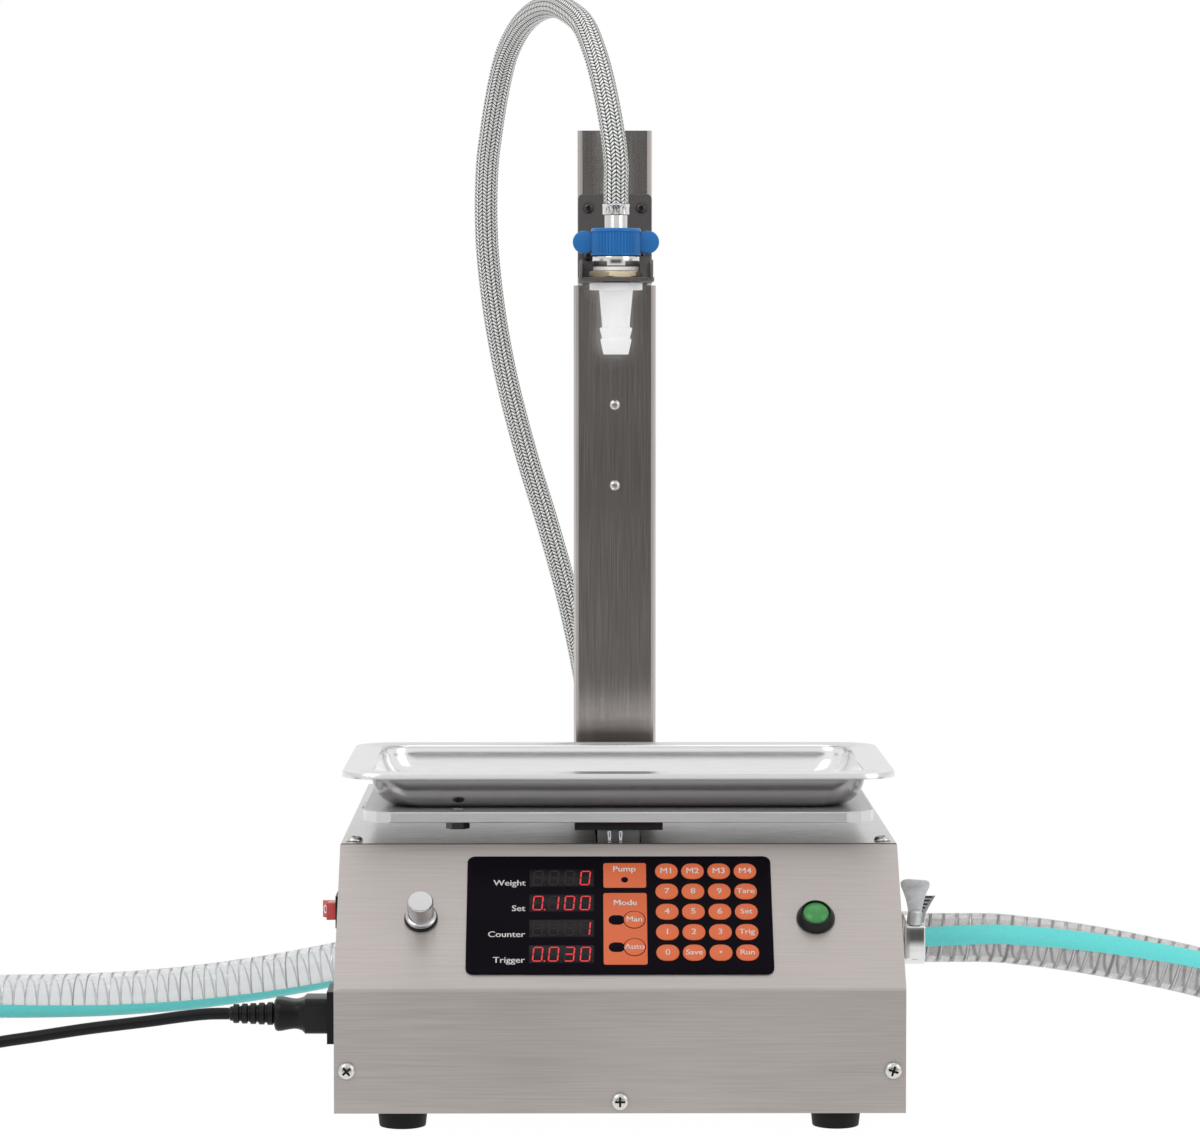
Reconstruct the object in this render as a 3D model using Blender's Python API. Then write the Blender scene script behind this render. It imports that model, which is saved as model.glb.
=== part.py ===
"""Liquid filling machine for a workbench: it pumps a liquid up to a nozzle and weighs what it fills.

The machine stands on the XY plane. Its front faces -Y. Every piece is built in the machine's own
frame: X across from the middle of the body, Y back from the front fold, Z up from the bench.
"""
import math

import bmesh
import bpy
import numpy as np
from mathutils import Matrix, Vector

# Clearances and stock sizes
GAP = 0.0003
OVERRUN = 0.003
SHEET = 0.0015

# Body
BODY_WIDTH = 0.290
BODY_DEPTH = 0.370
FOOT_HEIGHT = 0.0143
FRONT_HEIGHT = 0.0631
SLANT_RISE = 0.0662
SLANT_SETBACK = 0.066
FLANGE_WIDTH = 0.014
FLANGE_END_MARGIN = 0.012
LIP_HEIGHT = 0.018
LIP_MARGIN = 0.010

# Panel screws and feet
SCREW_HEAD_RADIUS = 0.0045
SCREW_HEAD_HEIGHT = 0.0022
SCREW_SHANK_RADIUS = 0.0017
SCREW_LENGTH = 0.008
SCREW_EDGE_MARGIN = 0.0065
FRONT_SCREW_HEIGHT = 0.036
CENTRE_SCREW_HEIGHT = 0.0204
TOP_SCREW_FRONT = 0.082
TOP_SCREW_REAR = 0.246
FOOT_TOP_RADIUS = 0.0135
FOOT_BASE_RADIUS = 0.012
FOOT_RECESS_RADIUS = 0.0055
FOOT_RECESS_DEPTH = 0.010
FOOT_STUD_RADIUS = 0.0025
FOOT_STUD = 0.005
FOOT_INSET_X = 0.033
FOOT_INSET_Y = 0.045

# Keypad on the slanted panel, in the panel's own plane
KEYPAD_WIDTH = 0.157
KEYPAD_HEIGHT = 0.0755
KEYPAD_CORNER = 0.004
OVERLAY_THICKNESS = 0.0008
KEY_RISE = 0.0005
KEY_WIDTH = 0.0116
KEY_HEIGHT = 0.0112
KEY_CORNER = 0.0018
ROUND_KEY_RADIUS = 0.0052
DISPLAY_WIDTH = 0.0332
DISPLAY_HEIGHT = 0.0112
DISPLAY_MARGIN = 0.002
BOARD_DEPTH = 0.0095
BOARD_THICKNESS = 0.0016
BOARD_MARGIN = 0.003
STANDOFF_RADIUS = 0.0028
STANDOFF_INSET = 0.0048
key_column_shares = [0.656, 0.742, 0.8285, 0.915]
key_row_shares = [0.134, 0.308, 0.481, 0.654, 0.827]
display_row_shares = [0.190, 0.405, 0.621, 0.838]
display_column_share = 0.311
round_key_column_share = 0.544
round_key_row_shares = [0.548, 0.780]
keypad_middle_share = 0.497

# Knob and start button, on the same panel
KNOB_X = -0.1018
KNOB_CAP_RADIUS = 0.0067
KNOB_FLANGE_RADIUS = 0.008
KNOB_FLANGE_HEIGHT = 0.0022
KNOB_HEIGHT = 0.0135
KNOB_EDGE = 0.0006
SPINDLE_RADIUS = 0.003
SPINDLE_DEPTH = 0.007
BUSH_RADIUS = 0.0045
KNOB_SEAT = 0.0015
POT_RADIUS = 0.0085
BUTTON_X = 0.1007
BUTTON_CAP_RADIUS = 0.00685
BUTTON_CAP_HEIGHT = 0.007
BUTTON_DOME = 0.0022
BUTTON_TRAVEL = 0.0025
BEZEL_TOP_RADIUS = 0.0078
BEZEL_BASE_RADIUS = 0.0099
BEZEL_HEIGHT = 0.0055
BEZEL_EDGE = 0.0012
STEM_RADIUS = 0.0079
STEM_LENGTH = 0.008
BUTTON_SKIRT = 0.004
PLUNGER_RADIUS = 0.002
PLUNGER_LENGTH = 0.002
SWITCH_DEPTH = 0.014
control_row_share = 0.52

# Rocker switch and mains inlet, on the left side
ROCKER_Y = 0.062
ROCKER_Z = 0.110
ROCKER_LENGTH = 0.0124
ROCKER_HEIGHT = 0.0089
ROCKER_WING = 0.0082
ROCKER_MIDDLE = 0.0058
ROCKER_ROOT = 0.003
ROCKER_TILT = math.radians(12)
ROCKER_SLOT_LENGTH = 0.0146
ROCKER_BODY_MARGIN = 0.0012
ROCKER_RIM = 0.0024
ROCKER_RIM_THICKNESS = 0.0018
ROCKER_BODY_DEPTH = 0.013
ROCKER_SLOT_DEPTH = 0.008
INLET_Y = 0.047
INLET_Z = 0.058
INLET_WIDTH = 0.031
INLET_HEIGHT = 0.027
INLET_RIM = 0.005
INLET_BODY_MARGIN = 0.003
INLET_BODY_DEPTH = 0.022
PLUG_WIDTH = 0.024
PLUG_HEIGHT = 0.0183
PLUG_NOSE = 0.014
PLUG_BODY = 0.012
PLUG_WAIST = 0.0155
PLUG_RELIEF = 0.0235
RELIEF_THICK = 0.0061
RELIEF_THIN = 0.0045
RELIEF_RIB = 0.0009
relief_ribs = 6
plug_waist_shares = [(0.80, 0.86), (0.62, 0.74), (0.72, 0.80)]

# Power cord, its coil and the mains plug
CORD_RADIUS = 0.0031
CORD_COIL_X = -0.450
CORD_COIL_Y = 0.040
CORD_COIL_RADIUS = 0.0442
CORD_COIL_PITCH = 0.0068
CORD_LAYER = 0.0068
CORD_COIL_EXIT = 0.018
CORD_LIFT = 0.0002
cord_coil_turns = 5.5
MAINS_RELIEF = 0.020
MAINS_BODY = 0.034
MAINS_WIDTH = 0.026
MAINS_THICKNESS = 0.0192
MAINS_EDGE = 0.004
BLADE_LENGTH = 0.016
BLADE_WIDTH = 0.0062
BLADE_THICKNESS = 0.0015
BLADE_SPACING = 0.0127
POWER_ROUTE = [
    (-0.2016, 0.047, 0.058), (-0.208, 0.047, 0.058), (-0.216, 0.047, 0.0576), (-0.228, 0.047, 0.0562), (-0.243, 0.047, 0.0541),
    (-0.260, 0.0472, 0.052), (-0.277, 0.0475, 0.0498), (-0.300, 0.048, 0.0462), (-0.3225, 0.050, 0.0425),
    (-0.345, 0.054, 0.0372), (-0.368, 0.060, 0.0292), (-0.390, 0.067, 0.0192), (-0.410, 0.0745, 0.0098),
    (-0.424, 0.0815, 0.0043), (-0.437, 0.0842, 0.0033), (-0.4435, 0.0842, 0.0033),
]

# Suction port, clamp and clear hose, on the right side
PORT_Y = 0.113
PORT_Z = 0.088
PORT_BORE = 0.008
PORT_THREAD = 0.011
PORT_FLANGE_RADIUS = 0.0165
PORT_FLANGE = 0.0037
PORT_TAIL = 0.011
BARB_ROOT = 0.0094
BARB_RADIUS = 0.010
BARB_LENGTH = 0.028
barb_count = 3
HOSE_RADIUS = 0.013
HOSE_BORE = 0.010
HOSE_END = 0.030
CLAMP_OFFSET = 0.0016
CLAMP_WIDTH = 0.012
CLAMP_BAND = 0.0008
CLAMP_HOUSING_DEPTH = 0.0062
CLAMP_HOUSING_HEIGHT = 0.018
CLAMP_TAIL_RISE = 0.010
CLAMP_TAIL_THICKNESS = 0.0008
WORM_RADIUS = 0.0021
WORM_HEAD_RADIUS = 0.0038
WORM_HEAD_HEIGHT = 0.0076
THUMB_WIDTH = 0.0116
THUMB_HEIGHT = 0.0168
THUMB_THICKNESS = 0.0014
HOSE_COIL_RADIUS = 0.157
HOSE_COIL_PITCH = 0.031
HOSE_LIFT = 0.0003
hose_coil_turns = 1.0
INLET_COIL_X = 0.515
INLET_COIL_Y = 0.237
INLET_ROUTE = [
    (0.1796, 0.113, 0.088), (0.195, 0.113, 0.088), (0.215, 0.113, 0.0864), (0.2291, 0.1129, 0.0847),
    (0.245, 0.1125, 0.0825), (0.2624, 0.1115, 0.0796), (0.28, 0.11, 0.0763), (0.2956, 0.1082, 0.0733),
    (0.311, 0.106, 0.0698), (0.3277, 0.1036, 0.0654), (0.345, 0.101, 0.0603), (0.3624, 0.0981, 0.0544),
    (0.38, 0.095, 0.0478), (0.3983, 0.0914, 0.0405), (0.415, 0.088, 0.0333), (0.437, 0.0838, 0.0215),
    (0.462, 0.08, 0.0133), (0.4887, 0.08, 0.0133),
]

# Second clear hose, from an elbow on the rear panel
RETURN_X = -0.040
RETURN_Z = 0.050
ELBOW_RADIUS = 0.011
ELBOW_BEND = 0.014
RETURN_RISE = 0.011
RETURN_END = 0.012
ELBOW_TAIL = 0.010
RETURN_COIL_X = -0.505
RETURN_COIL_Y = 0.238
RETURN_ROUTE = [
    (-0.0663, 0.395, 0.05), (-0.082, 0.395, 0.05), (-0.105, 0.395, 0.0468), (-0.135, 0.3955, 0.0398),
    (-0.1527, 0.3958, 0.0355), (-0.172, 0.396, 0.0312), (-0.193, 0.3961, 0.0272), (-0.215, 0.396, 0.0236),
    (-0.2374, 0.3958, 0.0204), (-0.26, 0.3955, 0.0178), (-0.2825, 0.3952, 0.0159), (-0.305, 0.395, 0.0145),
    (-0.3272, 0.395, 0.0138), (-0.35, 0.395, 0.0134), (-0.3746, 0.395, 0.0133), (-0.4, 0.395, 0.0133),
    (-0.452, 0.395, 0.0133), (-0.4787, 0.395, 0.0133),
]

# Outlet elbow and braided hose
OUTLET_X = -0.012
OUTLET_Z = 0.100
OUTLET_RISE = 0.008
OUTLET_END = 0.014
OUTLET_FERRULE_RADIUS = 0.0078
OUTLET_ELBOW_RADIUS = 0.0085
OUTLET_BEND = 0.014
BRAID_RADIUS = 0.0068
OUTLET_ROUTE = [
    (0, 0.225, 0.4815), (0, 0.225, 0.492), (0.0001, 0.2255, 0.503), (-0.0017, 0.229, 0.520),
    (-0.0047, 0.235, 0.5378), (-0.0085, 0.2436, 0.5555), (-0.0124, 0.252, 0.569), (-0.0181, 0.265, 0.583),
    (-0.027, 0.284, 0.5922), (-0.035, 0.302, 0.5963), (-0.0447, 0.323, 0.5948), (-0.0538, 0.343, 0.588),
    (-0.0614, 0.360, 0.5757), (-0.0657, 0.370, 0.5626), (-0.0695, 0.378, 0.5448), (-0.0724, 0.384, 0.5265),
    (-0.0746, 0.389, 0.5086), (-0.0754, 0.391, 0.481), (-0.0741, 0.392, 0.4527), (-0.0695, 0.392, 0.4157),
    (-0.0623, 0.392, 0.3787), (-0.0515, 0.392, 0.3374), (-0.0395, 0.392, 0.2982), (-0.0286, 0.392, 0.259),
    (-0.0198, 0.392, 0.2198), (-0.0142, 0.392, 0.185), (-0.0122, 0.392, 0.157), (-0.012, 0.392, 0.140),
    (-0.012, 0.392, 0.1283),
]

# Post
POST_FRONT = 0.290
SLEEVE_WIDTH = 0.047
SLEEVE_TOP = 0.437
SLEEVE_CORNER = 0.0028
SLIDER_WALL = 0.002
SLIDER_BOTTOM = 0.200
SLIDER_EXPOSED = 0.088
SLIDER_CAP = 0.0025
SLIDER_TRAVEL = 0.120
POST_FOOT_WIDTH = 0.076
POST_FOOT_DEPTH = 0.074
POST_FOOT_THICKNESS = 0.004
SLEEVE_SCREW_DROP = 0.068
SLEEVE_SCREW_SPACING = 0.046
SMALL_HEAD_RADIUS = 0.003
SMALL_HEAD_HEIGHT = 0.0018
SMALL_SHANK_RADIUS = 0.0014
SMALL_SHANK = 0.006
HEX_HEAD_RADIUS = 0.0062
HEX_HEAD_HEIGHT = 0.0041
HEX_SHANK_RADIUS = 0.003
FOOT_STUD_INSET = 0.0065
POST_STUD_RADIUS = 0.003
POST_STUD = 0.009
STOP_X = -0.084
STOP_Y = 0.075

# Nozzle bracket
BRACKET_WIDTH = 0.042
BRACKET_SHEET = 0.0025
BRACKET_HEIGHT = 0.051
BRACKET_REACH = 0.087
BRACKET_CORNER = 0.003
BRACKET_SCREW_X = 0.015
BRACKET_SCREW_HEIGHT = 0.043
GUSSET_X = 0.014
GUSSET_THICKNESS = 0.0066
GUSSET_HEIGHT = 0.0132
GUSSET_REACH = 0.030

# Filling head, on the nozzle's axis
NOZZLE_Y = 0.225
NOZZLE_BORE = 0.0055
HEAD_THREAD = 0.008
HEAD_THREAD_DEPTH = 0.0075
LOCK_NUT_RADIUS = 0.0153
LOCK_NUT_THICKNESS = 0.0032
SEAL_RADIUS = 0.01265
SEAL_THICKNESS = 0.0022
COLLAR_RADIUS = 0.01295
COLLAR_HEIGHT = 0.0054
SOCKET_RADIUS = 0.0101
SOCKET_HEIGHT = 0.009
WING_NUT_RADIUS = 0.0138
WING_NUT_GROOVE = 0.0007
WING_NUT_HEIGHT = 0.0153
WING_NUT_LIP = 0.0037
wing_nut_ribs = 20
WING_RADIUS = 0.00635
WING_REACH = 0.024
WING_THICKNESS = 0.005
TAIL_FLANGE_RADIUS = 0.0098
TAIL_FLANGE = 0.0024
TAIL_NECK_RADIUS = 0.0063
TAIL_BORE = 0.0045
FERRULE_RADIUS = 0.0075
FERRULE_HEIGHT = 0.006
FERRULE_GROOVE = 0.0005
NECK_LENGTH = 0.0075
NOZZLE_FLANGE_RADIUS = 0.01465
NOZZLE_FLANGE = 0.0041
NOZZLE_LENGTH = 0.0397
NOZZLE_BARREL_RADIUS = 0.00935
NOZZLE_WAIST_RADIUS = 0.0078
NOZZLE_BARB_RADIUS = 0.0087
NOZZLE_TIP_RADIUS = 0.0074
NOZZLE_BARB_TOP = 0.0203
NOZZLE_BARB_LENGTH = 0.0058

# Weighing place
PLATFORM_WIDTH = 0.267
PLATFORM_FRONT = 0.061
PLATFORM_DEPTH = 0.179
PLATFORM_THICKNESS = 0.0057
PLATFORM_BOTTOM = 0.1554
PLATFORM_CORNER = 0.015
STRAP_WIDTH = 0.046
STRAP_DEPTH = 0.040
STRAP_THICKNESS = 0.003
STRAP_FRONT = 0.072
CELL_WIDTH = 0.022
CELL_HEIGHT = 0.026
CELL_FRONT = 0.075
CELL_LENGTH = 0.130
CELL_HOLE_RADIUS = 0.0075
CELL_HOLE_SPACING = 0.013
CELL_SLOT_CLEARANCE = 0.001
PILLAR_WIDTH = 0.040
PILLAR_DEPTH = 0.025
TRAY_WIDTH = 0.290
TRAY_DEPTH = 0.178
TRAY_FRONT = 0.060
TRAY_CORNER = 0.022
TRAY_SHEET = 0.001
TRAY_HEIGHT = 0.0195
TRAY_RIM = 0.014
TRAY_RIM_DROP = 0.003
TRAY_SIDE_SLOPE = 0.0135
TRAY_BEND = 0.003

# Pump and motor, inside the body
HOUSING_RADIUS = 0.033
HOUSING_LENGTH = 0.034
CHAMBER_RADIUS = 0.027
CHAMBER_LENGTH = 0.019
MOTOR_RADIUS = 0.030
MOTOR_LENGTH = 0.060
MOTOR_FLANGE = 0.004
MOTOR_FOOT_WIDTH = 0.040
SHAFT_RADIUS = 0.004
SHAFT_DEPTH = 0.048
IMPELLER_RADIUS = 0.024
IMPELLER_HUB = 0.008
IMPELLER_PLATE = 0.003
IMPELLER_OFFSET = 0.004
VANE_HEIGHT = 0.005
VANE_THICKNESS = 0.0018
vane_count = 6
STUB_RADIUS = 0.008
STUB_BORE = 0.006
STUB_OFFSET = 0.020
STUB_LENGTH = 0.039

# Steps of the round shapes
small_sides = 8
medium_sides = 16
large_sides = 24
corner_steps = 3
coil_points_per_turn = 24
smooth_angle = math.radians(35)

# Places that follow from the sizes
HALF_WIDTH = BODY_WIDTH / 2
BODY_BOTTOM = FOOT_HEIGHT
FOLD_Z = BODY_BOTTOM + FRONT_HEIGHT
BODY_TOP = FOLD_Z + SLANT_RISE
SLANT_ANGLE = math.atan2(SLANT_RISE, SLANT_SETBACK)
SLANT_LENGTH = math.hypot(SLANT_RISE, SLANT_SETBACK)
INNER = SHEET + GAP
PORT_X = HALF_WIDTH
HOSE_END_X = PORT_X + GAP + PORT_FLANGE + GAP + HOSE_END
ROCKER_REACH = ROCKER_WING * math.cos(ROCKER_TILT) + ROCKER_LENGTH / 2 * math.sin(ROCKER_TILT)
LEFT_REACH = HALF_WIDTH + ROCKER_REACH
REAR_REACH = BODY_DEPTH + RETURN_RISE + ELBOW_BEND + HOSE_RADIUS
FRONT_REACH = GAP + SCREW_HEAD_HEIGHT
CELL_TOP = PLATFORM_BOTTOM - GAP - STRAP_THICKNESS - GAP
CELL_BOTTOM = CELL_TOP - CELL_HEIGHT
CENTRE_X = (HOSE_END_X - LEFT_REACH) / 2
CENTRE_Y = (REAR_REACH - FRONT_REACH) / 2
POST_Y = POST_FRONT + SLEEVE_WIDTH / 2
SLIDER_WIDTH = SLEEVE_WIDTH - 2 * (SLIDER_WALL + GAP)
SLIDER_TOP = SLEEVE_TOP + SLIDER_EXPOSED
SLEEVE_SCREW_HIGH = SLEEVE_TOP - SLEEVE_SCREW_DROP
SLEEVE_SCREW_LOW = SLEEVE_SCREW_HIGH - SLEEVE_SCREW_SPACING
BRACKET_BACK = POST_Y - SLIDER_WIDTH / 2 - GAP
SHELF_BOTTOM = SLEEVE_TOP + 3 * GAP
SHELF_TOP = SHELF_BOTTOM + BRACKET_SHEET
COLLAR_BOTTOM = SHELF_TOP + LOCK_NUT_THICKNESS + SEAL_THICKNESS + 3 * GAP
COLLAR_TOP = COLLAR_BOTTOM + COLLAR_HEIGHT
WING_BOTTOM = COLLAR_TOP + GAP
WING_TOP = WING_BOTTOM + WING_NUT_HEIGHT
FERRULE_BOTTOM = WING_TOP + NECK_LENGTH
FERRULE_TOP = FERRULE_BOTTOM + FERRULE_HEIGHT
NOZZLE_TOP = SHELF_BOTTOM - GAP
PUMP_FRONT = HALF_WIDTH - INNER - GAP
PUMP_BACK = PUMP_FRONT - HOUSING_LENGTH

for old in list(bpy.data.objects):
    bpy.data.objects.remove(old, do_unlink=True)


# Shapes, each a closed mesh about its own origin
def circle(radius, height, sides):
    """Points of a circle about Z."""
    turns = [math.tau * step / sides for step in range(sides)]
    return [Vector((radius * math.cos(turn), radius * math.sin(turn), height)) for turn in turns]


def rounded(width, depth, corner, height, steps=corner_steps):
    """Points of a rectangle with round corners about Z."""
    points = []
    for quarter, (side_x, side_y) in enumerate([(1, 1), (-1, 1), (-1, -1), (1, -1)]):
        centre = Vector((side_x * (width / 2 - corner), side_y * (depth / 2 - corner), height))
        for step in range(steps + 1):
            turn = math.pi / 2 * (quarter + step / steps)
            points.append(centre + corner * Vector((math.cos(turn), math.sin(turn), 0)))
    return points


def loft(rings, closed=False):
    """A skin over rings of like count, with flat ends or running round to its first ring."""
    shape = bmesh.new()
    rows = [[shape.verts.new(point) for point in ring] for ring in rings]
    pairs = list(zip(rows, rows[1:]))
    if closed:
        pairs.append((rows[-1], rows[0]))
    else:
        shape.faces.new(rows[0])
        shape.faces.new(rows[-1])
    for lower, upper in pairs:
        for index in range(len(lower)):
            after = (index + 1) % len(lower)
            shape.faces.new((lower[index], lower[after], upper[after], upper[index]))
    bmesh.ops.recalc_face_normals(shape, faces=shape.faces)
    return shape


def turned(profile, sides):
    """A closed outline of (radius, height) pairs, turned about Z."""
    shape = bmesh.new()
    rows = []
    for radius, height in profile:
        points = circle(radius, height, sides) if radius else [Vector((0, 0, height))]
        rows.append([shape.verts.new(point) for point in points])
    for lower, upper in zip(rows, rows[1:] + rows[:1]):
        if len(lower) == 1 and len(upper) == 1:
            continue
        for index in range(sides):
            after = (index + 1) % sides
            corners = [
                lower[index % len(lower)], lower[after % len(lower)],
                upper[after % len(upper)], upper[index % len(upper)],
            ]
            shape.faces.new(dict.fromkeys(corners))
    bmesh.ops.recalc_face_normals(shape, faces=shape.faces)
    return shape


def block(low, high):
    """A box from its lowest to its highest corner."""
    (x_low, y_low, z_low), (x_high, y_high, z_high) = low, high
    outline = [(x_low, y_low), (x_high, y_low), (x_high, y_high), (x_low, y_high)]
    return loft([[Vector((x, y, z)) for x, y in outline] for z in (z_low, z_high)])


def side_prism(outline, x_low, x_high):
    """An outline of (y, z) pairs, drawn out along X."""
    return loft([[Vector((x, y, z)) for y, z in outline] for x in (x_low, x_high)])


def elbow(start_leg, bend, end_leg, bore, sides, steps=4):
    """A bored pipe that rises along Z and bends to +X. A leg is a list of (distance, radius)."""
    corner = start_leg[-1][0]
    stations = [(Vector((0, 0, distance)), 0, radius) for distance, radius in start_leg]
    for step in range(1, steps):
        angle = math.pi / 2 * step / steps
        centre = Vector((bend * (1 - math.cos(angle)), 0, corner + bend * math.sin(angle)))
        stations.append((centre, angle, start_leg[-1][1]))
    for distance, radius in end_leg:
        stations.append((Vector((bend + distance, 0, corner + bend)), math.pi / 2, radius))
    outer = []
    inner = []
    for centre, angle, radius in stations:
        tilt = Matrix.Rotation(angle, 3, "Y")
        outer.append([centre + tilt @ point for point in circle(radius, 0, sides)])
        if not inner or (centre - stations[len(outer) - 2][0]).length > GAP:
            inner.append([centre + tilt @ point for point in circle(bore, 0, sides)])
    return loft(outer + inner[::-1], closed=True)


def moved(shape, place=(0, 0, 0), turn=None):
    """The shape, turned and then put at its place."""
    matrix = Matrix.Translation(place)
    if turn is not None:
        matrix = matrix @ turn.to_4x4()
    shape.transform(matrix)
    return shape


def gathered(shapes):
    """Separate solids in one mesh."""
    whole = bmesh.new()
    for shape in shapes:
        mesh = bpy.data.meshes.new("solid")
        shape.to_mesh(mesh)
        shape.free()
        whole.from_mesh(mesh)
        bpy.data.meshes.remove(mesh)
    return whole


def facing(z_axis, x_axis):
    """The rotation that takes Z and X to the given directions."""
    z_axis = Vector(z_axis)
    x_axis = Vector(x_axis)
    return Matrix((x_axis, z_axis.cross(x_axis), z_axis)).transposed()


TO_RIGHT = facing((1, 0, 0), (0, 0, 1))
TO_LEFT = facing((-1, 0, 0), (0, 0, 1))
TO_FRONT = facing((0, -1, 0), (1, 0, 0))
TO_REAR = facing((0, 1, 0), (1, 0, 0))
UPWARD = Matrix.Identity(3)
DOWNWARD = facing((0, 0, -1), (1, 0, 0))


# Finishes
def finish(name, colour, roughness, metallic=0, alpha=1):
    look = bpy.data.materials.new(name)
    look.use_nodes = True
    shader = look.node_tree.nodes["Principled BSDF"]
    shader.inputs["Base Color"].default_value = (*colour, 1)
    shader.inputs["Roughness"].default_value = roughness
    shader.inputs["Metallic"].default_value = metallic
    shader.inputs["Alpha"].default_value = alpha
    look.diffuse_color = (*colour, alpha)
    return look


BRUSHED = ("brushed_steel", (0.54, 0.51, 0.48), 0.38, 1)
BRIGHT = ("bright_steel", (0.75, 0.75, 0.76), 0.2, 1)
POST_STEEL = ("post_steel", (0.17, 0.155, 0.15), 0.42, 0.8)
DARK_PAINT = ("dark_paint", (0.09, 0.08, 0.078), 0.5)
ALUMINIUM = ("aluminium", (0.62, 0.62, 0.62), 0.4, 1)
BRASS = ("brass", (0.62, 0.40, 0.13), 0.3, 1)
BLACK_PLASTIC = ("black_plastic", (0.012, 0.012, 0.014), 0.45)
RUBBER = ("rubber", (0.02, 0.02, 0.02), 0.8)
OVERLAY = ("overlay", (0.006, 0.005, 0.008), 0.35)
RED_LENS = ("red_lens", (0.5, 0.02, 0.02), 0.2)
GREEN = ("green", (0.05, 0.30, 0.08), 0.35)
BLUE = ("blue", (0.015, 0.15, 0.55), 0.35)
WHITE = ("white", (0.85, 0.85, 0.84), 0.4)
BOARD_GREEN = ("board_green", (0.02, 0.18, 0.08), 0.5)
CLEAR = ("clear_hose", (0.75, 0.78, 0.78), 0.15, 0, 0.4)
BRAID = ("braid", (0.45, 0.45, 0.46), 0.35, 0.8)


# Pieces
def empty(name, place, parent=None, tilt=0):
    frame = bpy.data.objects.new(name, None)
    bpy.context.collection.objects.link(frame)
    frame.location = place
    frame.rotation_euler = (tilt, 0, 0)
    frame.parent = parent
    return frame


machine = empty("machine", (-CENTRE_X, -CENTRE_Y, 0))
panel = empty("slanted_panel", (0, SLANT_SETBACK / 2, (FOLD_Z + BODY_TOP) / 2), machine, SLANT_ANGLE)


def piece(name, shape, look, place=(0, 0, 0), turn=UPWARD, parent=machine):
    """One named object with its own material."""
    mesh = bpy.data.meshes.new(name)
    shape.to_mesh(mesh)
    shape.free()
    mesh.shade_smooth()
    mesh.set_sharp_from_angle(angle=smooth_angle)
    item = bpy.data.objects.new(name, mesh)
    bpy.context.collection.objects.link(item)
    item.location = place
    item.rotation_euler = turn.to_euler()
    item.parent = parent
    if look:
        tone, *values = look
        mesh.materials.append(finish(f"{name}_{tone}", *values))
    return item


def tool(name, shape, place=(0, 0, 0), turn=UPWARD, parent=machine):
    """A shape that only cuts or joins others."""
    item = piece(name, shape, None, place, turn, parent)
    item.hide_render = True
    item.display_type = "WIRE"
    return item


def change(target, operation, *tools):
    for item in tools:
        boolean = target.modifiers.new(item.name, "BOOLEAN")
        boolean.operation = operation
        boolean.object = item
        boolean.solver = "EXACT"


def soften(target, width, steps=1):
    bevel = target.modifiers.new("soft_edges", "BEVEL")
    bevel.width = width
    bevel.segments = steps
    bevel.limit_method = "ANGLE"


def tube(name, runs, radius, look, rounding):
    """A round cord or hose along each run of points."""
    curve = bpy.data.curves.new(name, "CURVE")
    curve.dimensions = "3D"
    curve.bevel_depth = radius
    curve.bevel_resolution = rounding
    curve.use_fill_caps = True
    for points in runs:
        spline = curve.splines.new("POLY")
        spline.points.add(len(points) - 1)
        for knot, point in zip(spline.points, points):
            knot.co = (*point, 1)
    item = bpy.data.objects.new(name, curve)
    bpy.context.collection.objects.link(item)
    item.parent = machine
    tone, *values = look
    curve.materials.append(finish(f"{name}_{tone}", *values))
    return item


def smooth_route(route, spacing, fine_steps=24):
    """Points about one spacing apart on a smooth curve through the route, with straight first and last stretches."""
    knots = [np.array(point) for point in route]
    fine = []
    for before, start, end, after in zip(knots, knots[1:], knots[2:], knots[3:]):
        for step in range(fine_steps):
            t = step / fine_steps
            fine.append(0.5 * (
                2 * start + (end - before) * t
                + (2 * before - 5 * start + 4 * end - after) * t ** 2
                + (3 * start - before - 3 * end + after) * t ** 3
            ))
    fine.append(knots[-2])
    fine = np.array(fine)
    run = np.concatenate([[0], np.cumsum(np.linalg.norm(np.diff(fine, axis=0), axis=1))])
    count = max(2, round(run[-1] / spacing) + 1)
    marks = np.linspace(0, run[-1], count)
    middle = np.column_stack([np.interp(marks, run, fine[:, axis]) for axis in range(3)])
    return np.vstack([knots[0], middle, knots[-1]])


def coil(centre, radius, pitch, turns, rise, low, start_angle, leads):
    """Loops that spiral in, climb a layer where they reverse and spiral out; one layer with no rise."""
    reverse = turns / 2 if rise else turns
    points = []
    steps = round(turns * coil_points_per_turn)
    for step in range(steps + 1):
        turn = turns * step / steps
        angle = start_angle + math.tau * turn
        inward = turn if turn <= reverse else 2 * reverse - turn
        reach = radius - pitch * inward
        climb = min(max((turn - reverse) * 2 + 0.5, 0), 1)
        points.append((
            centre[0] + reach * math.cos(angle), centre[1] + reach * math.sin(angle), low + rise * climb,
        ))
    start_heading = np.array((-math.sin(start_angle), math.cos(start_angle), 0))
    end_angle = start_angle + math.tau * turns
    end_heading = np.array((-math.sin(end_angle), math.cos(end_angle), 0))
    points.insert(0, tuple(np.array(points[0]) - leads[0] * start_heading))
    points.append(tuple(np.array(points[-1]) + leads[1] * end_heading))
    return np.array(points)


def length_of(points):
    return float(np.linalg.norm(np.diff(points, axis=0), axis=1).sum())


def least_gap(points, radius, apart):
    """The least gap between stretches of one tube that are more than a few points apart."""
    found = math.inf
    for index in range(len(points) - apart):
        others = points[index + apart:]
        found = min(found, np.linalg.norm(others - points[index], axis=1).min())
    return found - 2 * radius


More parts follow.
